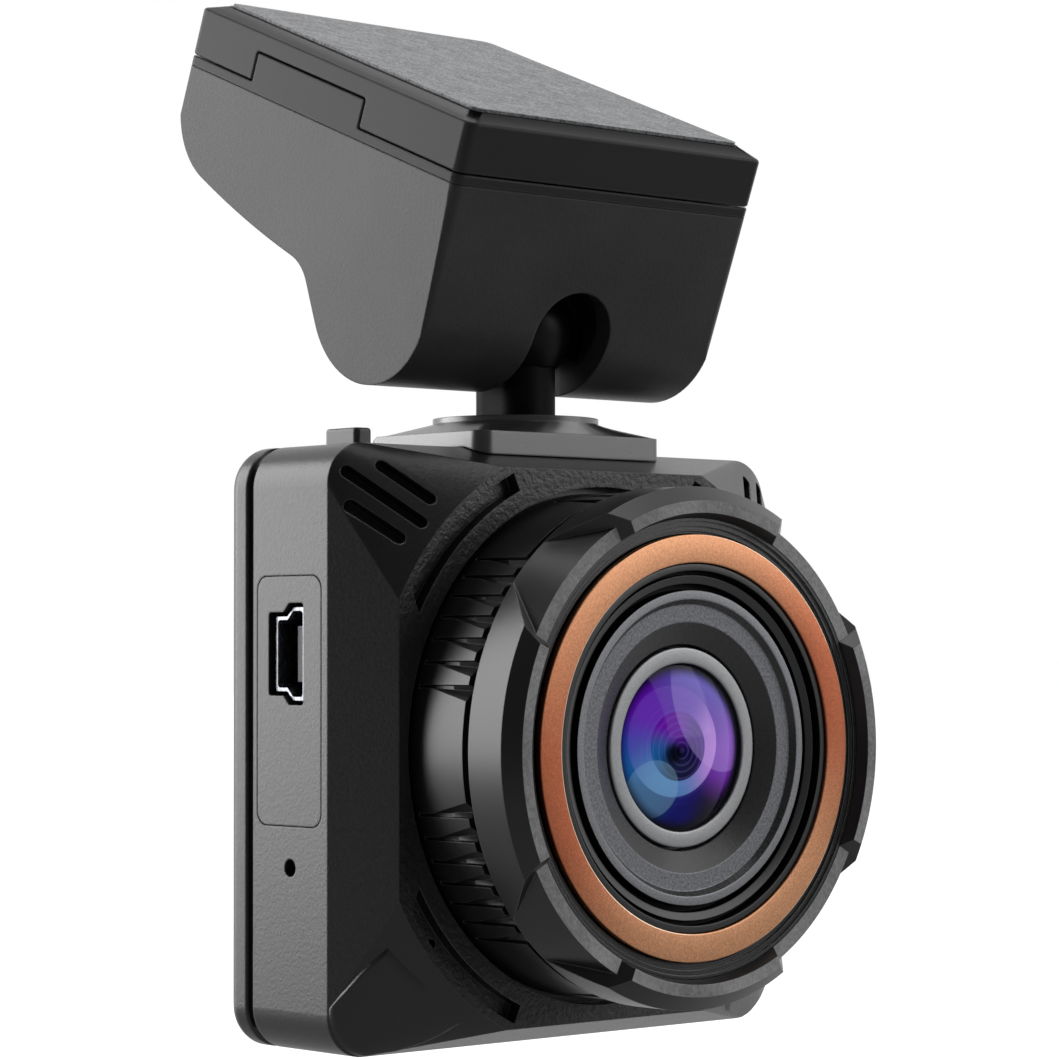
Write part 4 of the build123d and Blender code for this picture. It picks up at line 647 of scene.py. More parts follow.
@dataclass(frozen=True)
class AnodisedCopper(Finish):
    """Copper-coloured anodised aluminium, faced on a lathe: warm specks, paler at the top and the bottom as a
    painted reflection, with painted highlights on its edges on one side.
    """

    centre: Vector               # on the barrel axis, in metres
    # pale and deep: the copper's tone in and out of its painted reflection
    pale: str = "#d29a74"
    deep: str = "#b4684a"
    edge: str = "#fff0d8"        # painted highlight on the cut edges
    middle: float = 16.355       # middle of the ring's width, from the axis
    rim_from: float = 1.06       # where the painted edge highlight starts and is full, from the middle
    rim_to: float = 1.11
    speck: float = 0.16          # in millimetres
    contrast: float = 0.2        # how far a speck's tone departs
    top: tuple = (-0.28, 0.0, 0.96)      # the way to the palest place of the painted reflection
    lit_side: tuple = (1.0, 0.0, 0.15)   # the side whose cut edges get the painted highlight

    def woven(self, weave: Weave) -> dict[str, Value]:
        """Builds what feeds the shader: see Finish."""
        local = weave.mapped(Location=(-self.centre.x, 0.0, -self.centre.z), Scale=(1.0, 0.0, 1.0))
        unit = weave.vector("NORMALIZE", local)
        upright = weave.vector("DOT_PRODUCT", unit, self.top)
        # painted reflection: paler towards the top and the bottom, deeper at the sides
        above = weave.math("MULTIPLY_ADD", upright, -0.1, weave.math("ABSOLUTE", upright))
        painted_reflection_tone = weave.blend(weave.ranged(above, 0.15, 1.05, soft=True), linear(self.deep), linear(self.pale))
        grain = weave.noise(self.speck, 3.0, 0.7)
        colour = weave.scaled(painted_reflection_tone, weave.ranged(grain, 0.35, 0.65, 1 - self.contrast, 1 + self.contrast))
        # painted highlight on the ring's inner and outer edges, on the lit side only
        across = weave.math("SUBTRACT", weave.vector("LENGTH", local), self.middle * MM)
        rim = weave.ranged(weave.math("ABSOLUTE", across), self.rim_from * MM, self.rim_to * MM)
        facing = weave.math("MULTIPLY", weave.vector("DOT_PRODUCT", unit, self.lit_side), across)
        rim_highlight = weave.math("MULTIPLY", rim, weave.ranged(facing, 0.1 * MM, 0.7 * MM))
        return {
            "Metallic": 1.0,
            "Base Color": weave.blend(rim_highlight, colour, linear(self.edge)),
            "Roughness": weave.ranged(grain, low=0.28, high=0.44),
            "Normal": weave.relief(grain, 0.004),
        }


@dataclass(frozen=True)
class FoamTape(Finish):
    """Closed-cell acrylic foam tape under a grained release liner: bright and dark specks."""

    colour: str = "#a3a4a6"
    dark: str = "#4c4d50"
    speck: float = 0.24
    patch: float = 1.6           # size of the broader patches, in millimetres

    def woven(self, weave: Weave) -> dict[str, Value]:
        """Builds what feeds the shader: see Finish."""
        cells = weave.noise(self.speck, 4.0, 0.7)
        mixed = weave.math("MULTIPLY_ADD", weave.noise(self.patch, 2.0), 0.25, cells)
        return {
            "Base Color": weave.blend(weave.ranged(mixed, 0.48, 0.78), linear(self.dark), linear(self.colour)),
            "Roughness": 0.62,
            "Normal": weave.relief(cells, 0.02, 0.8),
        }


@dataclass(frozen=True)
class PrintedBoard(Finish):
    """Glass-fibre board under green solder mask: copper tracks show through as a lighter green."""

    mask: str = "#0f4a2c"
    track: str = "#1d6b42"
    spacing: float = 2.4         # of the tracks, in millimetres

    def woven(self, weave: Weave) -> dict[str, Value]:
        """Builds what feeds the shader: see Finish."""
        lines = add_node(weave.tree, "ShaderNodeTexBrick", {
            "Scale": 1 / (self.spacing * MM), "Mortar Size": 0.09, "offset": 0.37, "squash": 0.7,
            "Color1": linear(self.mask), "Color2": linear(self.mask), "Mortar": linear(self.track),
            "Vector": weave.mapped(Rotation=(pi / 2, 0, 0)),
        }).outputs
        relief = weave.relief(lines["Fac"], 0.03, 0.5)
        return {"Base Color": lines["Color"], "Roughness": 0.35, "Normal": relief}


@dataclass(frozen=True)
class PlainGlass(Finish):
    """Polished optical glass with a faint tint."""

    tint: str
    alpha: float
    roughness: float = 0.02
    smear: float = 5.0           # size of the duller patches, in millimetres

    def woven(self, weave: Weave) -> dict[str, Value]:
        """Builds what feeds the shader: see Finish."""
        gloss = weave.ranged(weave.noise(self.smear, 3.0), low=self.roughness, high=self.roughness + 0.05)
        return {"Base Color": linear(self.tint), "Alpha": self.alpha, "IOR": 1.52, "Roughness": gloss}


@dataclass(frozen=True)
class CoatedLens(Finish):
    """Multi-coated front lens, opaque and painted: violet and blue painted reflections, the elements behind as
    a pale band and rings round a dark well, painted light and shade, and a faint glow.
    """

    centre: Vector               # on the barrel axis, in metres
    radius: float                # of the glass, in millimetres
    ground: str = "#2a1a88"
    painted_reflection_zones: tuple = (
        # painted reflections: colour, middle across and up in radii, reach in radii, softness, strength
        ("#4c0f98", -0.35, 0.75, 0.7, 0.7, 1.0),
        ("#5f0fae", -0.75, 0.35, 0.42, 0.5, 0.9),
        ("#3f3cb0", 0.3, 0.95, 0.55, 0.7, 0.9),
        ("#2b3cae", -0.98, -0.05, 0.34, 0.5, 0.9),
        ("#0f62a4", -0.62, -0.3, 0.4, 0.5, 0.95),
        ("#083e78", -0.6, -0.78, 0.42, 0.5, 0.95),
        ("#0b0a5c", 0.0, -0.95, 0.45, 0.5, 0.95),
        ("#0b0222", 0.72, -0.78, 0.6, 0.5, 1.0),
        ("#7a2fb4", 0.62, -0.05, 0.42, 0.6, 0.95),
        ("#4a1a9c", 0.15, 0.3, 0.4, 0.5, 0.7),
    )
    band: tuple = (
        # colour, middle across and up, reach, strength: the pale band of the elements behind, a painted
        # reflection
        ("#7a50c4", 0.0, 0.3, 1.2, 0.3),
        ("#dba4f4", 0.55, -0.12, 0.55, 0.55),
        ("#5fb0da", -0.35, -0.55, 0.5, 0.42),
    )
    well: tuple = (
        # the same, for the dark well inside the band, painted shade
        ("#2a0a58", 0.1, 0.1, 0.6, 0.55),
        ("#6a0fa8", -0.2, 0.25, 0.3, 0.8),
        ("#0f5c9c", -0.35, -0.15, 0.24, 0.8),
        ("#050a2c", 0.02, -0.28, 0.3, 0.9),
    )

    def spot(
        self, weave: Weave, place: bpy.types.NodeSocket, x: float, z: float, reach: float, soft: float
    ) -> bpy.types.NodeSocket:
        """Makes a round mask.

        Args:
            weave: The material's tree.
            place: Coordinates in radii of the glass about its middle.
            x: The spot's middle across.
            z: The spot's middle upwards.
            reach: The spot's radius.
            soft: Width of its soft edge.

        Returns:
            1 inside and 0 outside.
        """
        far = weave.vector("DISTANCE", place, (x, 0.0, z))
        return weave.ranged(far, reach + soft / 2, reach - soft / 2, soft=True)

    def over(
        self, weave: Weave, below: bpy.types.NodeSocket, code: str, mask: bpy.types.NodeSocket, strength: float
    ) -> bpy.types.NodeSocket:
        """Lays one colour over another through a mask.

        Args:
            weave: The material's tree.
            below: The colour so far.
            code: The colour laid over it.
            mask: Where it lies.
            strength: How much of it is laid.

        Returns:
            The new colour.
        """
        return weave.blend(weave.math("MULTIPLY", mask, strength), below, linear(code))

    def woven(self, weave: Weave) -> dict[str, Value]:
        """Builds what feeds the shader: see Finish."""
        size = self.radius * MM
        local = weave.mapped(
            Location=(-self.centre.x / size, 0.0, -self.centre.z / size), Scale=(1 / size, 0.0, 1 / size)
        )
        ground = add_node(weave.tree, "ShaderNodeRGB")
        ground.outputs[0].default_value = linear(self.ground)
        colour = ground.outputs[0]
        for code, x, z, reach, soft, strength in self.painted_reflection_zones:
            colour = self.over(weave, colour, code, self.spot(weave, local, x, z, reach, soft), strength)
        # the elements behind sit off the middle: a painted pale band round a well in painted shade, with fine
        # painted rings and a painted dark spot at its middle
        inner = Weave(weave.tree, local).mapped(Location=(0.18, 0.0, -0.05))
        well = self.spot(weave, inner, -0.03, -0.03, 0.41, 0.02)
        band = weave.math("SUBTRACT", self.spot(weave, inner, -0.06, 0.03, 0.665, 0.02), well)
        for mask, place, soft, rows in ((band, local, 0.6, self.band), (well, inner, 0.3, self.well)):
            for code, x, z, reach, strength in rows:
                share = weave.math("MULTIPLY", mask, self.spot(weave, place, x, z, reach, soft))
                colour = self.over(weave, colour, code, share, strength)
        ring = weave.math("MULTIPLY", weave.vector("DISTANCE", inner, (0.0, 0.0, -0.08)), 80.0)
        fine = weave.ranged(weave.math("SINE", ring), 0.3, 1.0, 0.0, 0.09)
        share = weave.math("MULTIPLY", fine, self.spot(weave, inner, 0.0, -0.08, 0.5, 0.5))
        colour = self.over(weave, colour, "#9a8cf0", share, 1.0)
        colour = self.over(weave, colour, "#010208", self.spot(weave, inner, -0.12, -0.12, 0.12, 0.12), 0.9)
        # painted reflections: one large pale disc and a small one below
        colour = self.over(weave, colour, "#d2c0ff", self.spot(weave, local, 0.62, 0.57, 0.875, 0.02), 0.17)
        colour = self.over(weave, colour, "#a9dcf0", self.spot(weave, local, -0.55, -0.49, 0.35, 0.02), 0.15)
        # painted shade: darker round the rim
        shade = weave.blend(self.spot(weave, local, -0.06, 0.0, 0.9, 0.16), linear("#060410"), colour)
        # painted light: the lens's colour glows a little
        return {
            "Base Color": shade, "Emission Color": shade, "Emission Strength": 0.4, "Roughness": 0.06,
            "IOR": 1.52, "Specular IOR Level": 0.1,
        }


# ================================================================ the shared places
AXIS = (Vector(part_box("copper_ring")[0]) + Vector(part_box("copper_ring")[1])) / 2
COPPER_FRONT = 27.15             # depth of the copper ring's face, in millimetres
BARREL = Vector((AXIS.x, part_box("copper_ring")[0][1] + COPPER_FRONT * MM, AXIS.z))


def depth_of(point: Vector) -> float:
    """Gives a point's depth towards the lens, in millimetres."""
    return (BARREL.y - point.y) / MM


def radius_of(point: Vector) -> float:
    """Gives a point's distance from the barrel axis, in millimetres."""
    return hypot(point.x - BARREL.x, point.z - BARREL.z) / MM


# ================================================================ the palette
@dataclass(frozen=True)
class Palette:
    """Every finish of the object, made once and shared."""

    made: dict

    @classmethod
    def mixed(cls) -> "Palette":
        """Builds all the materials.

        Returns:
            The palette.
        """
        finishes = (
            # polycarbonate and ABS blend, moulded with a fine etched grain: near black, silky where it is lit
            MouldedPlastic("abs_fine_grain", "#131315", 0.33, Grain.PEBBLED_FINE, "#55565a", 0.2, 0.7),
            # the same blend from a deeply etched mould wall: coarse pebbles that catch the light
            MouldedPlastic("collar_pebble", "#262627", 0.36, Grain.PEBBLED, "#808185", 0.1, 0.8, 0.3),
            # vent floors: near black, as painted shade
            MouldedPlastic("abs_dark_recess", "#060607", 0.5, Grain.ETCHED, "#1d1e20", 0.1),
            # glass-filled nylon barrel: satin black with crisp rib edges, lighter by wear and painted highlight
            MouldedPlastic("nylon_barrel", "#151517", 0.34, Grain.SATIN, "#7a7a7e", 0.07, 0.8),
            MouldedPlastic("satin_bezel", "#18181a", 0.33, Grain.SATIN, "#7c7d80", 0.12, 0.7),
            # the bezel's forward faces: coarser grain, and a light grey on the black bezel as painted light
            MouldedPlastic("bezel_face_grain", "#8c8c8d", 0.38, Grain.SPARKED, "#b4b4b5", 0.08, 0.7, 0.6),
            # black paint in the cone: coarse sparkle towards the light
            MouldedPlastic("painted_cone", "#363638", 0.28, Grain.ETCHED, "#85868a", 0.06, 0.8, 0.2, 0.0, 1.42),
            MouldedPlastic(
                "surround_channel", "#08080a", 0.5, Grain.SATIN, "#303134", 0.05, 0.8, 0.1, 0.0, 1.2
            ),
            MouldedPlastic("step_grey", "#2c2d2f", 0.3, Grain.SATIN, "#b4b5b8", 0.06, 1.0),
            # polished ABS: the mould wall was polished, so it mirrors the lamps
            MouldedPlastic(
                "polished_abs", "#363637", 0.2, Grain.POLISHED, "#8c8c90", 0.2, 0.9, 0.05, 0.0, 1.18
            ),
            MouldedPlastic(
                "matt_bracket", "#363637", 0.42, Grain.PEBBLED_FINE, "#505052", 0.22, 0.5, 0.24, 0.0, 1.32
            ),
            # acetal shoe and arm: self-lubricating, so a waxy half gloss; the shoe's grey is lightened as
            # painted light, the arm's darkened as painted shade
            MouldedPlastic("acetal_shoe", "#38383a", 0.3, Grain.WAXY, "#4c4c4e", 0.2, 0.5, 0.04, 0.0, 1.9),
            MouldedPlastic("acetal_arm", "#141415", 0.5, Grain.WAXY, "#2b2c2e", 0.14, 0.5, 0.04, 0.0, 1.14),
            MouldedPlastic("acetal_ball", "#0b0b0c", 0.4, Grain.WAXY, "#3c3d40", 0.1, 0.4, 0.05, 0.0, 1.28),
            MouldedPlastic("acetal_cup", "#b9b6ab", 0.35, Grain.SATIN, "#d8d6cc", 0.08, 0.4),
            MouldedPlastic("nylon_holder", "#0e0e0f", 0.5, Grain.ETCHED, "#38393c", 0.1),
            MouldedPlastic("moulded_key", "#28282a", 0.34, Grain.SATIN, "#6a6b6e", 0.14, 0.7),
            MouldedPlastic("liquid_crystal_tongue", "#3c3d40", 0.4, Grain.SATIN, "#2b2b2d", 0.05),
            # epoxy over the silicon: matt with a fine laser-cut haze
            MouldedPlastic("epoxy_package", "#17171a", 0.55, Grain.ETCHED, "#2c2c30", 0.05),
            MouldedPlastic("card_shell", "#121214", 0.38, Grain.SATIN, "#39393c", 0.06),
            # screen lens of acrylic over black print
            MouldedPlastic("acrylic_window", "#030304", 0.06, Grain.POLISHED, "#26272b", 0.1, 0.4, 0.04, 0.8),
            MouldedPlastic("display_module", "#23252b", 0.2, Grain.SATIN, "#50545c", 0.05, 0.4),
            FoamTape("acrylic_foam_tape"),
            PrintedBoard("solder_masked_board"),
            # copper-coloured anodised aluminium: fine matt specks under a warm satin sheen, with a painted
            # reflection and painted edge highlights
            AnodisedCopper("anodised_copper", BARREL),
            # grey anodised aluminium, bead blasted: a soft even sheen
            FinishedMetal("blasted_ring", "#a4a5a6", "#949597", 0.44, 0.1, 0.001, 0.1),
            FinishedMetal("blasted_step", "#8b8c8f", "#747578", 0.44, 0.16, 0.006, 0.06),
            FinishedMetal("blasted_ledge", "#808185", "#606164", 0.46, 0.22, 0.012, 0.06),
            # nickel-plated rolled steel, and the inlet's shell with its rolling marks
            FinishedMetal("plated_steel", "#b9bbc0", "#8f9298", 0.26, 0.1, 0.003, 0.05),
            FinishedMetal("plated_inlet", "#8f9196", "#6c6e73", 0.28, 0.25, 0.004, 0.05, (1, 1, 0.25)),
            FinishedMetal("turned_lens_barrel", "#3b3c41", "#26272b", 0.34, 0.12, 0.004, 0.05, (1, 0.2, 1)),
            FinishedMetal("gold_contact", "#e8c88a", "#c79a4c", 0.3, 0.1, 0.002, 0.03),
            # aluminium laminate pouch, crimped: dull silver with long creases
            FinishedMetal("pouch_foil", "#b9bcc2", "#9093a0", 0.38, 2.2, 0.08, 0.1, (0.25, 1, 1)),
            CoatedLens("multi_coated_lens", BARREL, LensUnit.glass),
            PlainGlass("optical_glass", "#dfe9f2", 0.35),
            PlainGlass("infrared_filter", "#8fc7d8", 0.5),
        )
        return cls({finish.name: finish.material() for finish in finishes})


# ================================================================ what keeps its form
@dataclass
class Mouldings:
    """Pieces whose form is the frame's own, with a finish each, and those that also get rounded edges."""

    rounding: tuple = (
        # node, finish, width in millimetres, faces across
        ("adhesive_base", "polished_abs", 0.22, 3), ("bracket_lid", "polished_abs", 0.14, 3),
        ("usb_shell", "plated_inlet", 0.05, 3), ("power_button", "moulded_key", 0.12, 3),
        ("rear_cover", "abs_fine_grain", 0.3, 4), ("screen_window", "acrylic_window", 0.12, 3),
        ("key_power_menu", "moulded_key", 0.22, 3), ("key_up", "moulded_key", 0.22, 3),
        ("key_down", "moulded_key", 0.22, 3), ("key_confirm", "moulded_key", 0.22, 3),
    )
    plain: tuple = (
        ("adhesive_pad", "acrylic_foam_tape"), ("socket_clamp", "nylon_holder"), ("friction_cup", "acetal_cup"),
        ("pivot_ball", "acetal_ball"), ("arm_post", "acetal_arm"), ("mount_shoe", "acetal_shoe"),
        ("side_panel", "abs_fine_grain"), ("usb_tongue", "liquid_crystal_tongue"),
        ("power_switch", "plated_steel"), ("reset_button", "liquid_crystal_tongue"),
        ("reset_switch", "plated_steel"), ("display_panel", "display_module"),
        ("display_frame", "nylon_holder"), ("key_switches", "plated_steel"),
        ("lens_tube", "turned_lens_barrel"), ("middle_lens", "optical_glass"),
        ("rear_lens", "optical_glass"), ("light_filter", "infrared_filter"),
        ("main_board", "solder_masked_board"), ("sensor_board", "solder_masked_board"),
        ("image_sensor", "display_module"), ("processor", "epoxy_package"), ("speaker", "epoxy_package"),
        ("battery_cell", "pouch_foil"), ("microphone", "plated_steel"), ("card_slot", "plated_steel"),
        ("memory_card", "card_shell"), ("board_connector", "liquid_crystal_tongue"),
        ("lens_holder", "nylon_holder"),
    )

    def build(self, palette: Palette) -> None:
        """Rounds and dresses the pieces."""
        for node, finish, width, segments in self.rounding:
            paint(refined(node, width, segments), palette.made[finish])
        for node, finish in self.plain:
            paint(NODES[node], palette.made[finish])
            LOG.info("%s dressed in %s", node, finish)
        paint(zoned("bracket_housing", lambda middle, normal: 0), palette.made["matt_bracket"])


# ================================================================ screws
class Drive(Enum):
    """Which way a screw's head looks in the frame."""

    DOWN = "down"
    UP = "up"
    REAR = "rear"


@dataclass
class Screws:
    """Pan-head thread-forming screws with a cross recess, set out by Geometry Nodes."""

    node: str
    drive: Drive
    head_radius: float
    head_height: float
    shank_radius: float
    thread_pitch: float = 0.6
    thread_depth: float = 0.13
    sides: int = 40
    crease: float = 35.0             # the least angle that stays sharp, in degrees

    def one(self, length: float, turn: Matrix) -> bpy.types.Object:
        """Builds one screw about the origin with its head's outer face at 0.

        Args:
            length: Whole length in millimetres.
            turn: Turns the screw from pointing its head along +Z.

        Returns:
            The piece, at the origin.
        """
        shape = bmesh.new()
        head, height, shank = self.head_radius, self.head_height, self.shank_radius
        root, pitch = shank - self.thread_depth, self.thread_pitch
        outline = [(0.0, 0.0), (head * 0.55, 0.0), (head * 0.8, -height * 0.12), (head * 0.97, -height * 0.42)]
        outline += [(head, -height * 0.7), (head, -height), (shank, -height)]
        for index in range(int((length - height - shank) / pitch)):
            low = -height - index * pitch
            outline += [(root, low - pitch * 0.2), (root, low - pitch * 0.45), (shank, low - pitch * 0.8)]
        outline += [(shank * 0.5, -length + 0.25), (0.0, -length)]
        rows = []
        for radius, z in outline:
            steps = 1 if radius == 0 else self.sides
            turns = (2 * pi * step / steps for step in range(steps))
            rows.append([shape.verts.new((cos(turn) * radius, sin(turn) * radius, z)) for turn in turns])
        skinned(shape, rows)
        self.recess(shape)
        bmesh.ops.recalc_face_normals(shape, faces=shape.faces)
        shape.transform(Matrix.Scale(MM, 4))
        shape.transform(turn.to_4x4())
        return smooth(mesh_object(f"{self.node}.one", shape), self.crease)

    def recess(self, shape: bmesh.types.BMesh) -> None:
        """Sinks a cross recess into the head's flat top.

        Args:
            shape: The screw, in millimetres, head up.
        """
        arm, half, deep = self.head_radius * 0.5, self.head_radius * 0.13, self.head_height * 0.62
        taper, tip = 0.72, 1.15
        flat = [f for f in shape.faces if all(abs(v.co.z) < 1e-6 for v in f.verts)]
        rim = sorted(
            {v for f in flat for v in f.verts if v.co.length > 1e-6}, key=lambda v: atan2(v.co.y, v.co.x)
        )
        bmesh.ops.delete(shape, geom=flat, context="FACES")
        loose = [v for v in shape.verts if not v.link_faces]
        bmesh.ops.delete(shape, geom=loose, context="VERTS")
        cross = []
        for quarter in range(4):
            spin = Matrix.Rotation(quarter * pi / 2, 3, "Z")
            cross += [spin @ Vector(p) for p in ((half, -half, 0), (arm, -half, 0), (arm, half, 0))]
        top = [shape.verts.new(p) for p in cross]
        low = [shape.verts.new((p.x * taper, p.y * taper, -deep)) for p in cross]
        size = len(top)
        for k in range(size):
            shape.faces.new((top[k], top[(k + 1) % size], low[(k + 1) % size], low[k]))
        centre = shape.verts.new((0, 0, -deep * tip))
        for k in range(size):
            shape.faces.new((low[k], low[(k + 1) % size], centre))
        edges = [shape.edges.get((a, b)) for a, b in zip(rim, rim[1:] + rim[:1])]
        edges += [shape.edges.get((top[k], top[(k + 1) % size])) for k in range(size)]
        bmesh.ops.triangle_fill(shape, edges=[e for e in edges if e], use_beauty=True)

    def build(self, palette: Palette) -> None:
        """Builds the screws where the CAD's solids are and dresses them."""
        source = NODES[self.node]
        heads, way = self.places(source)
        turn = Vector((0, 0, 1)).rotation_difference(way).to_matrix()
        length = max((point - heads[0]).dot(-way) for point in self.near(source, heads[0], way)) / MM
        finish = palette.made["plated_steel"]
        rows = []
        for start in range(0, len(heads), 2):
            row = heads[start : start + 2]
            maker = Repeat(f"{self.node}_row", len(row), row[0], row[-1] - row[0])
            rows.append(maker.grown(self.one(length, turn), finish))
        piece = joined(f"{self.node}.fine", rows)
        smooth(piece, self.crease)
        paint(piece, finish)
        carried(piece, source["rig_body"], self.node)

    def near(self, source: bpy.types.Object, place: Vector, way: Vector) -> list[Vector]:
        """Lists the node's points round one screw.

        Args:
            source: The CAD node.
            place: Middle of the head's outer face.
            way: Where the head looks.

        Returns:
            Points of that screw's solid.
        """
        reach = self.head_radius * 1.3 * MM
        found = []
        for vertex in source.data.vertices:
            offset = vertex.co - place
            if (offset - way * offset.dot(way)).length < reach:
                found.append(vertex.co.copy())
        return found

    def places(self, source: bpy.types.Object) -> tuple[list[Vector], Vector]:
        """Finds the heads' middles from the node's own flat head faces.

        Args:
            source: The CAD node.

        Returns:
            The middle of each head's outer face, in pairs along X, and where the heads look.
        """
        facing = max((Vector(f.normal) for f in NODES["adhesive_pad"].data.polygons), key=lambda n: n.z)
        way = {Drive.UP: facing, Drive.DOWN: Vector((0, 0, -1)), Drive.REAR: Vector((0, 1, 0))}[self.drive]
        top = max(v.co.dot(way) for v in source.data.vertices)
        points = [v.co.copy() for v in source.data.vertices if top - v.co.dot(way) < 2e-6]
        groups: list[list[Vector]] = []
        for point in points:
            for group in groups:
                if (group[0] - point).length < 2.2 * self.head_radius * MM:
                    group.append(point)
                    break
            else:
                groups.append([point])
        middles = []
        for group in groups:
            lows = Vector(min(p[i] for p in group) for i in range(3))
            highs = Vector(max(p[i] for p in group) for i in range(3))
            middles.append((lows + highs) / 2)
        middles.sort(key=lambda p: (round(p.y / MM), round(p.z / MM), p.x))
        return middles, way


# ================================================================ the case
@dataclass
class CaseShell:
    """Front shell with its sloping faces, and the raised panels on its two lower corner faces."""

    corner_middle: tuple[float, float] = (21.5, 21.4)    # of each case corner's arc
    corner_radius: float = 3.6
    nose_radius: float = 25.7
    nose_from: float = 207.96        # the collar's lower left corner arc, in degrees
    nose_sweep: float = 36.06
    slope_from: float = 9.8          # depth where the slope starts
    slope_to: float = 16.0
    slot_floor: float = 14.8
    collar_inner: float = 21.0
    pinhole_rim: float = 0.74        # radius of the cone's open end
    pinhole_reach: float = 0.6       # how far from the hole's axis its own rim is looked for
    panel_rise: float = 0.24
    panel_soft: float = 0.85         # width of the panel's soft edge
    panel_border: float = 0.35       # how far the panel runs on past its outline
    panel_dip: float = 0.12          # how deep its border lies in the slope
    panel_size: tuple[float, float] = (19.0, 8.0)
    panel_outline: tuple = (
        (-0.05, 0.03), (0.02, 0.25), (0.12, 0.75), (0.46, 0.85),
        (0.83, 0.81), (0.92, 0.52), (0.97, 0.25), (0.88, 0.03),
    )

    def slope(self, s: float, t: float, hand: int) -> Vector:
        """Gives a point of a lower corner face.

        Args:
            s: From 0 at the case side to 1 at the case bottom.
            t: From 0 at the case to 1 at the collar.
            hand: 1 for the left corner and -1 for the right one.

        Returns:
            The point in millimetres about the barrel axis, with depth as -y.
        """
        outer = radians(180 + 90 * s)
        case = Vector((
            -self.corner_middle[0] + self.corner_radius * cos(outer),
            -self.slope_from,
            -self.corner_middle[1] + self.corner_radius * sin(outer),
        ))
        inner = radians(self.nose_from + self.nose_sweep * s)
        nose = Vector((self.nose_radius * cos(inner), -self.slope_to, self.nose_radius * sin(inner)))
        made = case.lerp(nose, t)
        made.x *= hand
        return made

    def inside(self, s: float, t: float) -> float:
        """Gives how far a place lies inside the panel's outline, in millimetres, below 0 outside."""
        nearest, winding = 1e9, False
        rows = self.panel_outline
        for (s0, t0), (s1, t1) in zip(rows, rows[1:] + rows[:1]):
            a = Vector(((s0 - s) * self.panel_size[0], (t0 - t) * self.panel_size[1]))
            b = Vector(((s1 - s) * self.panel_size[0], (t1 - t) * self.panel_size[1]))
            span = b - a
            share = min(max(-a.dot(span) / span.length_squared, 0), 1)
            nearest = min(nearest, (a + span * share).length)
            if (t0 > t) != (t1 > t) and s < (s1 - s0) * (t - t0) / (t1 - t0) + s0:
                winding = not winding
        return nearest if winding else -nearest

    def corner_panel(self, hand: int) -> bpy.types.Object:
        """Builds one raised panel as a thin closed shell that dips into the slope at its border."""
        across, along = 120, 50
        shape = bmesh.new()
        wall = bmesh.new()
        wall.from_mesh(NODES["front_shell"].data)
        tree = BVHTree.FromBMesh(wall)
        wall.free()
        grid = {}
        for i in range(across + 1):
            for j in range(along + 1):
                s, t = -0.08 + 1.12 * i / across, 0.95 * j / along
                reach = self.inside(s, t)
                if reach < -self.panel_border:
                    continue
                place = self.slope(s, t, 1)
                side = self.slope(s + 0.01, t, 1) - self.slope(s - 0.01, t, 1)
                up = self.slope(s, t + 0.01, 1) - self.slope(s, t - 0.01, 1)
                out = up.cross(side).normalized()
                if out.y > 0:
                    out.negate()
                share = min(max((reach + self.panel_border) / self.panel_soft, 0), 1)
                eased = share * share * (3 - 2 * share)
                lift = -self.panel_dip + (self.panel_rise + self.panel_dip) * eased
                for vector in (place, out):
                    vector.x *= hand
                start = BARREL + (place + out * 2) * MM
                hit = tree.ray_cast(start, -out, 4 * MM)[0]
                if hit:
                    grid[i, j] = shape.verts.new(hit + out * lift * MM)
        for (i, j), corner in grid.items():
            ring = [grid.get(k) for k in ((i, j), (i + 1, j), (i + 1, j + 1), (i, j + 1))]
            if all(ring):
                shape.faces.new(ring)
        bmesh.ops.recalc_face_normals(shape, faces=shape.faces)
        middle = sum((f.normal for f in shape.faces), Vector())
        if middle.dot(Vector((-hand, -1, -1))) < 0:
            bmesh.ops.reverse_faces(shape, faces=shape.faces)
        piece = mesh_object(f"corner_panel_{'left' if hand > 0 else 'right'}", shape)
        shell = piece.modifiers.new("wall", "SOLIDIFY")
        shell.thickness = 0.3 * MM
        shell.offset = -1
        settled(piece)
        return smooth(piece, 40)

    def countersink(self, shell: bpy.types.Object) -> None:
        """Opens the pinhole's outer rim to a small cone.

        Args:
            shell: The copy of the front shell.
        """
        low, high = (Vector(corner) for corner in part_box("reset_button"))
        middle, face = (low + high) / 2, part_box("front_shell")[0][0]
        for vertex in shell.data.vertices:
            offset = Vector((0.0, vertex.co.y - middle.y, vertex.co.z - middle.z))
            if abs(vertex.co.x - face) < 0.01 * MM and offset.length < self.pinhole_reach * MM:
                vertex.co += offset.normalized() * (self.pinhole_rim * MM - offset.length)

    def vent_levels(self) -> list[tuple[Vector, float]]:
        """Finds the planes of the vents' floors.

        Returns:
            Each plane's normal and its distance from the origin.
        """
        areas: dict = {}
        for face in NODES["front_shell"].data.polygons:
            normal = face.normal
            if normal.z > 0.25 and abs(normal.x) > 0.25 and normal.y < -0.25:
                key = (*(round(c, 3) for c in normal), round(normal.dot(face.center) / MM, 1))
                areas[key] = areas.get(key, 0) + face.area
        found = []
        for hand in (-1, 1):
            best = max((k for k in areas if k[0] * hand > 0), key=lambda k: areas[k])
            found.append((Vector(best[:3]), best[3]))
        return found

    def build(self, palette: Palette) -> None:
        """Builds and dresses the front shell."""
        vents = self.vent_levels()

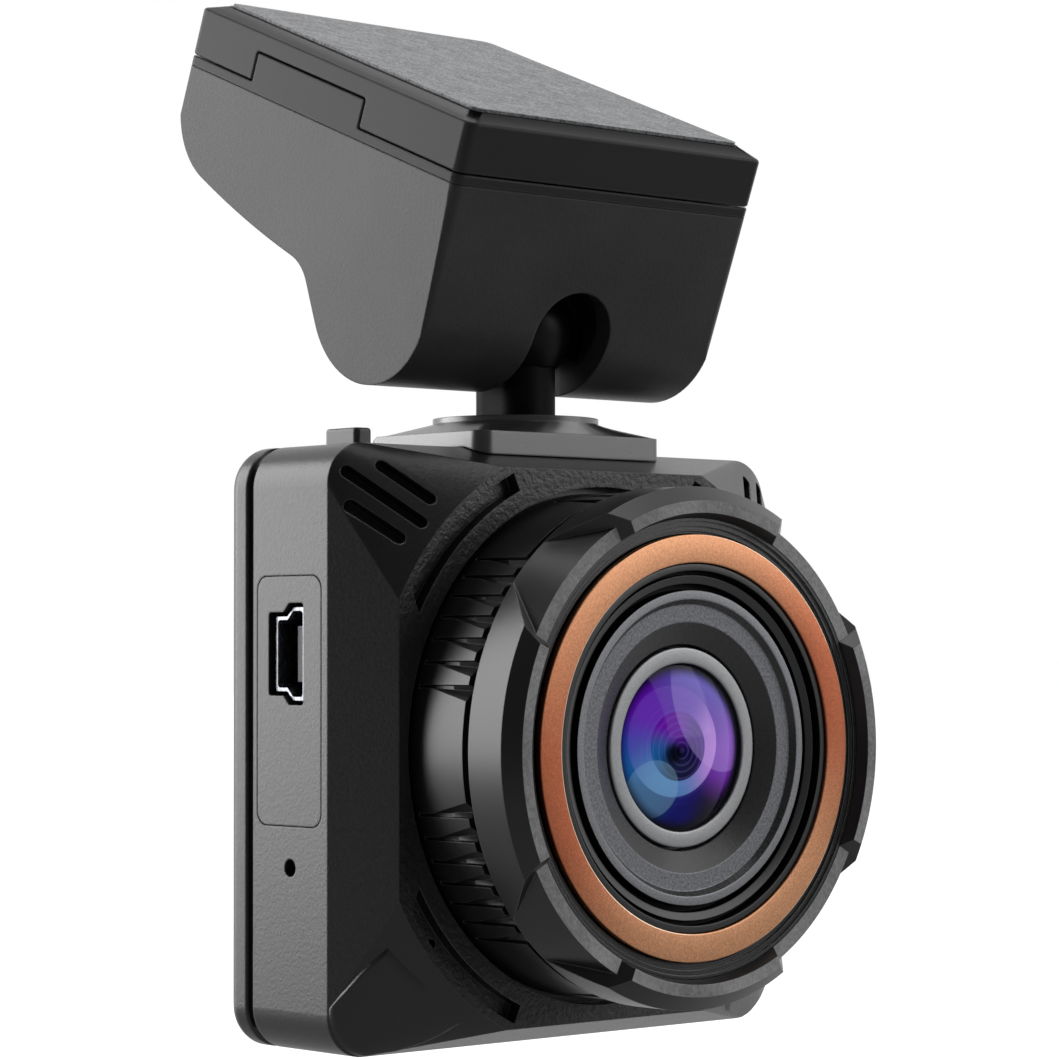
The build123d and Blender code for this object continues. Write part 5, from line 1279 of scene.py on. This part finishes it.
        def zone(middle: Vector, normal: Vector) -> int:
            """Sorts a face of the shell: 1 collar face and slot floors, 2 vent floors in painted shade, 0 the
            rest.
            """
            depth = depth_of(middle)
            flat = min(abs(depth - self.slope_to), abs(depth - self.slot_floor)) < 0.05
            if flat and normal.y < -0.99:
                return int(radius_of(middle) > self.collar_inner)
            for facing, level in vents:
                if normal.dot(facing) > 0.999 and abs(middle.dot(facing) / MM - level) < 0.06:
                    return 2
            return 0

        made = palette.made
        shell = zoned("front_shell", zone)
        self.countersink(shell)
        paint(shell, made["abs_fine_grain"], made["collar_pebble"], made["abs_dark_recess"])
        for hand in (1, -1):
            panel = self.corner_panel(hand)
            paint(panel, made["abs_fine_grain"])
            carried(panel, NODES["front_shell"]["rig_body"])


@dataclass
class Barrel:
    """Ribbed barrel ring: groups of slanting ribs, each with a fine line, and smooth stretches between."""

    radius: float = 21.2
    back: float = 12.4
    flange: float = 21.98
    flange_front: float = 14.2
    front: float = 22.0
    groove: float = 20.5
    groove_front: float = 22.95
    bore: float = 19.5
    line_back: float = 16.0
    line_depth: float = 0.35
    line_sweep: float = 0.81         # the line's width, in degrees
    facet_back: float = 17.6
    facet_depth: float = 0.95
    facet_width: float = 1.03
    pitch: float = 5.45
    ahead: float = 4.2               # the cell's reach on the facet's side of its line, in degrees
    ribs: int = 7
    plains: int = 5
    hands: tuple = (1, -1, -1, 1, 1, -1)

    def columns(self, depth: float, hand: int) -> list[tuple[float, float]]:
        """Lists one row of a rib cell.

        Args:
            depth: Depth towards the lens.
            hand: 1 with the facet on the smaller-angle side, -1 mirrored, 0 for a plain cell.

        Returns:
            Angle in degrees and radius of each point.
        """
        behind = self.pitch - self.ahead
        if hand == 0:
            return [(0.0, self.radius), (0.5, self.radius), (1.0, self.radius)]
        share = max(0.0, (depth - self.facet_back) / (self.front - self.facet_back))
        drop = self.line_depth if depth >= self.line_back else 0.0
        crease = degrees(self.facet_width * share / self.radius)
        row = [
            (-self.ahead, self.radius), (-(self.ahead + crease) / 2, self.radius), (-crease, self.radius),
            (0.0, self.radius - self.facet_depth * share),
            (0.0, self.radius - max(drop, self.facet_depth * share * 0.999)),
            (self.line_sweep, self.radius - drop), (self.line_sweep, self.radius), (behind, self.radius),
        ]
        return row if hand > 0 else [(-angle, radius) for angle, radius in reversed(row)]

    def cell(self, hand: int, width: float = 1.0) -> bpy.types.Object:
        """Builds one cell about the barrel axis through the origin.

        Args:
            hand: As for columns.
            width: Width of a plain cell, in degrees.

        Returns:
            The piece, at the origin.
        """
        shape = bmesh.new()
        rows = []
        edge = self.line_back
        outside = (self.flange_front, edge - 0.02, edge, self.facet_back, 18.7, 19.8, 20.9, self.front)
        for depth in outside:
            rows.append([(angle, radius, depth) for angle, radius in self.columns(depth, hand)])
        closing = (
            (self.groove, self.front), (self.groove, self.groove_front), (self.bore, self.groove_front),
            (self.bore, self.back), (self.flange, self.back), (self.flange, self.flange_front),
        )
        for radius, depth in closing:
            rows.append([(angle, radius, depth) for angle, _ in self.columns(self.front, hand)])
        points = []
        for row in rows:
            points.append([])
            for angle, radius, depth in row:
                turn = radians(angle * (width if hand == 0 else 1.0))
                place = Vector((cos(turn) * radius, -depth, sin(turn) * radius)) * MM
                points[-1].append(shape.verts.new(place))
        for near, far in zip(points, points[1:] + points[:1]):
            for k in range(len(near) - 1):
                shape.faces.new((near[k], near[k + 1], far[k + 1], far[k]))
        bmesh.ops.remove_doubles(shape, verts=shape.verts, dist=1e-7)
        return mesh_object("rib_cell", shape)

    def build(self, palette: Palette) -> None:
        """Builds the ring from its cells and dresses it."""
        finish = palette.made["nylon_barrel"]
        sectors = []
        behind = self.pitch - self.ahead
        spread = (self.ribs - 1) / 2 * self.pitch
        for group, hand in enumerate(self.hands):
            middle = 30.0 + 60.0 * group
            sectors.append(self.spun(hand, 1.0, self.ribs, middle - spread, self.pitch, finish))
            after = self.hands[(group + 1) % len(self.hands)]
            start = middle + spread + (behind if hand > 0 else self.ahead)
            end = middle + 60.0 - spread - (self.ahead if after > 0 else behind)
            width = (end - start) / self.plains
            sectors.append(self.spun(0, width, self.plains, start, width, finish))
        piece = joined("rib_ring.fine", sectors, 4e-6)
        smooth(piece, 26)
        paint(piece, finish)
        carried(piece, NODES["rib_ring"]["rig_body"], "rib_ring")

    def spun(
        self, hand: int, width: float, count: int, first: float, pitch: float, finish: bpy.types.Material
    ) -> bpy.types.Object:
        """Repeats one cell round the barrel axis; angles grow against the turn about +Y."""
        maker = Repeat("rib_sector", count, BARREL, Vector((0, 0, 0)), -first, -pitch)
        return maker.grown(self.cell(hand, width), finish)


@dataclass
class Bezel:
    """Tabbed outer bezel: satin all round, with coarser grain and a lighter grey, as painted light, on every
    face that looks forwards.
    """

    forwards: float = -0.9

    def build(self, palette: Palette) -> None:
        """Builds and dresses the bezel."""

        def zone(middle: Vector, normal: Vector) -> int:
            """Gives 1 on the front faces and 0 elsewhere."""
            return int(normal.y < self.forwards and radius_of(middle) > LensTrim.step_outer)

        paint(zoned("bezel_ring", zone), palette.made["satin_bezel"], palette.made["bezel_face_grain"])


@dataclass
class LensTrim:
    """Fine stepped ring, copper ring and the stepped surround round the lens."""

    step_outer: float = 18.85
    step_inner: float = 17.58
    step_back: float = 25.2
    step_high: float = 27.01
    step_low: float = 26.61
    steps: int = 3
    step_groove: float = 0.24
    step_shares: tuple = (0.55, 0.6, 0.98)   # where a land ends, and its groove's floor starts and ends
    copper_outer: float = 17.53
    copper_inner: float = 15.18
    copper_back: float = 26.55
    surround_outline: tuple = (
        # radius and depth: back, lip, groove, land, channel, step, ledge, cone, well
        (6.95, 22.6), (15.1, 22.6), (15.1, 26.9), (14.55, 26.9), (14.53, 25.9), (14.17, 25.9),
        (14.15, 26.45), (13.47, 26.2), (13.45, 25.3), (12.96, 25.3), (12.94, 26.4), (12.2, 26.4),
        (11.77, 25.9), (10.33, 25.9), (8.5, 25.1), (8.5, 23.6), (6.95, 23.6),
    )
    surround_finishes: tuple = (
        "blasted_step", "blasted_ledge", "surround_channel", "painted_cone", "step_grey",
    )
    surround_zones: tuple = (
        # from and to a radius, and the finish: a face gets the first that holds it
        (13.47, 14.15, "step_grey"), (14.56, 16.0, "step_grey"), (12.9, 16.0, "surround_channel"),
        (0.0, 10.3, "painted_cone"), (11.79, 12.17, "painted_cone"), (0.0, 11.8, "blasted_ledge"),
        (0.0, 16.0, "blasted_step"),
    )

    def ridges(self) -> list[tuple[float, float]]:
        """Lists the stepped ring's outline: lands that fall inwards with a fine groove after each."""
        rows = [(self.step_inner, self.step_back), (self.step_outer, self.step_back)]
        width = (self.step_outer - self.step_inner) / self.steps
        for index in range(self.steps):
            outer = self.step_outer - index * width
            level = self.step_high + (self.step_low - self.step_high) * index / (self.steps - 1)
            land, start, end = (width * share for share in self.step_shares)
            floor = level - self.step_groove
            rows += [(outer, level), (outer - land, level), (outer - start, floor), (outer - end, floor)]
        return rows

    def build(self, palette: Palette) -> None:
        """Builds and dresses the rings."""
        body = NODES["copper_ring"]["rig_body"]
        ridged = turned("step_ring.fine", BARREL, self.ridges(), 256)
        paint(ridged, palette.made["step_grey"])
        carried(ridged, body, "step_ring")
        crown = [(self.copper_inner, self.copper_back), (self.copper_outer, self.copper_back)]
        crown += [(self.copper_outer, COPPER_FRONT), (self.copper_inner, COPPER_FRONT)]
        copper = turned("copper_ring.fine", BARREL, softened(crown, 0.12, 5), 256)
        paint(copper, palette.made["anodised_copper"])
        carried(copper, body, "copper_ring")
        self.surround(palette)

    def surround(self, palette: Palette) -> None:
        """Builds the lens surround and dresses each of its steps."""
        finishes = self.surround_finishes
        outline = softened(list(self.surround_outline), 0.07, 5)
        piece = turned("lens_surround.fine", BARREL, outline, 256)
        for face in piece.data.polygons:
            radius = radius_of(face.center)
            finish = next(row[2] for row in self.surround_zones if row[0] < radius < row[1])
            face.material_index = finishes.index(finish)
        paint(piece, *(palette.made[finish] for finish in finishes))
        carried(piece, NODES["lens_surround"]["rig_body"], "lens_surround")


@dataclass
class LensUnit:
    """Front lens dome and its retaining ring."""

    glass: float = 6.86
    sag: float = 1.5
    edge: float = 24.9
    back: float = 24.2
    back_sag: float = 0.9
    ring_outer: float = 8.25
    ring_front: float = 25.2

    def arc(self, sag: float, level: float, rising: bool, steps: int = 24) -> list[tuple[float, float]]:
        """Lists a dome's profile from its rim or from its middle."""
        bend = (self.glass**2 + sag**2) / (2 * sag)
        rows = []
        for step in range(steps + 1):
            radius = self.glass * step / steps
            rows.append((radius, level + sqrt(bend**2 - radius**2) - (bend - sag)))
        return rows if rising else rows[::-1]

    def build(self, palette: Palette) -> None:
        """Builds and dresses the lens."""
        body = NODES["front_lens"]["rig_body"]
        outline = self.arc(self.sag, self.edge, True) + self.arc(self.back_sag, self.back, False)
        dome = turned("front_lens.fine", BARREL, outline, 160)
        paint(dome, palette.made["multi_coated_lens"])
        carried(dome, body, "front_lens")
        rim = [(self.glass + 0.05, self.back), (self.ring_outer, self.back)]
        rim += [(self.ring_outer, self.ring_front), (self.glass + 0.05, self.ring_front)]
        ring = turned("lens_ring.fine", BARREL, softened(rim, 0.2, 4), 192)
        paint(ring, palette.made["blasted_ring"])
        carried(ring, body, "lens_ring")


@dataclass
class InletContacts:
    """The inlet's row of five spring contacts."""

    contacts: int = 5
    contact_pitch: float = 0.8
    nose: float = 0.05

    def build(self, palette: Palette) -> None:
        """Builds and dresses the contacts, with rounded noses."""
        low, high = (Vector(corner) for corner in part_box("usb_pins"))
        width = high.z - low.z - (self.contacts - 1) * self.contact_pitch * MM
        shape = bmesh.new()
        bmesh.ops.create_cube(shape, size=1.0)
        shape.transform(Matrix.Diagonal((high.x - low.x, high.y - low.y, width, 1)))
        one = mesh_object("contact", shape)
        rounded(one, self.nose)
        start = Vector(((low.x + high.x) / 2, (low.y + high.y) / 2, low.z + width / 2))
        maker = Repeat("inlet_contacts", self.contacts, start, Vector((0, 0, self.contact_pitch * MM)))
        piece = smooth(maker.grown(one, palette.made["gold_contact"]), 40)
        piece.name = "usb_pins.fine"
        carried(piece, NODES["usb_pins"]["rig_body"], "usb_pins")


# ================================================================ studio
@dataclass
class Softbox:
    """One square area lamp aimed at the object."""

    place: tuple[float, float, float]
    power: float
    size: float
    aim: tuple[float, float, float] = (0.0, -0.012, -0.042)

    def build(self) -> None:
        """Builds the lamp."""
        light = bpy.data.lights.new("softbox", "AREA")
        light.energy = self.power
        light.size = self.size
        lamp = bpy.data.objects.new("softbox", light)
        lamp.location = self.place
        lamp.rotation_euler = (Vector(self.place) - Vector(self.aim)).to_track_quat("Z", "Y").to_euler()
        bpy.context.scene.collection.objects.link(lamp)


@dataclass
class Studio:
    """Camera, lamps, pale floor and the white room."""

    lens: float = 118.51
    shift: tuple[float, float] = (-0.0376, 0.0190)
    place: tuple[float, float, float] = (-200.66, -230.92, -50.36)
    azimuth: float = -42.405
    elevation: float = -1.558
    roll: float = -0.078
    floor_level: float = -0.16
    lamps: tuple = (
        Softbox((-0.5, 0.68, 0.2), 8.5, 0.72),
        Softbox((0.05, 0.05, 0.7), 3.6, 0.6),
        Softbox((0.5, -0.55, 0.22), 1.7, 0.5),
    )
    fill: float = 0.12               # what the room gives to matt surfaces
    front_gloss: float = 0.1         # what glossy surfaces see on the camera's side

    def build(self) -> None:
        """Builds the studio."""
        self.camera()
        for lamp in self.lamps:
            lamp.build()
        self.room()
        self.floor()
        bpy.context.scene.view_settings.view_transform = "Standard"

    def toward(self) -> Vector:
        """Gives the level direction from the object to the camera."""
        return Vector((sin(radians(self.azimuth)), -cos(radians(self.azimuth)), 0.0))

    def camera(self) -> None:
        """Sets the camera up."""
        data = bpy.data.cameras.new("view")
        data.lens = self.lens
        data.shift_x, data.shift_y = self.shift
        data.clip_start = 0.01
        view = bpy.data.objects.new("view", data)
        bpy.context.scene.collection.objects.link(view)
        azimuth, elevation = radians(self.azimuth), radians(self.elevation)
        back = Vector((sin(azimuth) * cos(elevation), -cos(azimuth) * cos(elevation), sin(elevation)))
        right = Vector((0, 0, 1)).cross(back).normalized()
        turn = Matrix((right, back.cross(right), back)).transposed()
        turn = turn @ Matrix.Rotation(radians(self.roll), 3, "Z")
        view.matrix_world = Matrix.Translation(Vector(self.place) * MM) @ turn.to_4x4()
        bpy.context.scene.camera = view

    def room(self) -> None:
        """Builds the world: white to the eye, white behind and dim in front in reflections, a low fill."""
        world = bpy.data.worlds.new("studio")
        bpy.context.scene.world = world
        world.use_nodes = True
        tree = world.node_tree
        weave = Weave.on(tree, "Generated")
        ahead = weave.vector("DOT_PRODUCT", weave.place, self.toward())
        glossy = weave.ranged(ahead, 0.1, -0.5, self.front_gloss, 1.0, soft=True)
        direct, mirrored = weave.rays()
        settings = {"data_type": "FLOAT", 0: mirrored, 2: self.fill, 3: glossy}
        seen = add_node(tree, "ShaderNodeMix", settings).outputs[0]
        level = add_node(tree, "ShaderNodeMix", {"data_type": "FLOAT", 0: direct, 2: seen, 3: 1.0}).outputs[0]
        feed(tree.nodes["Background"], {"Strength": level, "Color": (1, 1, 1, 1)})

    def floor(self) -> None:
        """Builds the white floor, which keeps the object's shadow."""
        shape = bmesh.new()
        bmesh.ops.create_grid(shape, x_segments=1, y_segments=1, size=6.0)
        bmesh.ops.translate(shape, verts=shape.verts, vec=(0, 0, self.floor_level))
        piece = mesh_object("floor", shape)
        made = bpy.data.materials.new("matt_white_paint")
        made.use_nodes = True
        weave = Weave.on(made.node_tree)
        behind = weave.ranged(weave.vector("DOT_PRODUCT", weave.place, self.toward()), 0.0, -0.6)
        direct, mirrored = weave.rays()
        seen = weave.math("MAXIMUM", direct, weave.math("MULTIPLY", mirrored, behind))
        glow = weave.ranged(weave.vector("LENGTH", weave.place), 0.2, 0.9, 0.85, 1.0)
        feed(made.node_tree.nodes["Principled BSDF"], {
            "Base Color": linear("#b0b0b0"), "Roughness": 0.9, "Emission Color": (1, 1, 1, 1),
            "Emission Strength": weave.math("MULTIPLY", seen, glow),
        })
        paint(piece, made)


# ================================================================ main
def main() -> None:
    """Builds the object and its studio."""
    palette = Palette.mixed()
    parts = (
        Mouldings(), CaseShell(), Barrel(), Bezel(), LensTrim(), LensUnit(), InletContacts(),
        Screws("lid_screws", Drive.UP, 1.5, 1.2, 0.8), Screws("clamp_screws", Drive.UP, 1.8, 0.9, 0.9),
        Screws("shoe_screw", Drive.DOWN, 2.12, 1.08, 1.2), Screws("case_screws", Drive.REAR, 1.7, 0.9, 0.9),
        Screws("board_screws", Drive.REAR, 1.7, 0.9, 0.9),
    )
    for part in parts:
        part.build(palette)
        LOG.info("%s built", type(part).__name__)
    Studio().build()


if __name__ == "__main__":
    logging.basicConfig(level=logging.INFO, format="%(name)s: %(message)s")
    main()
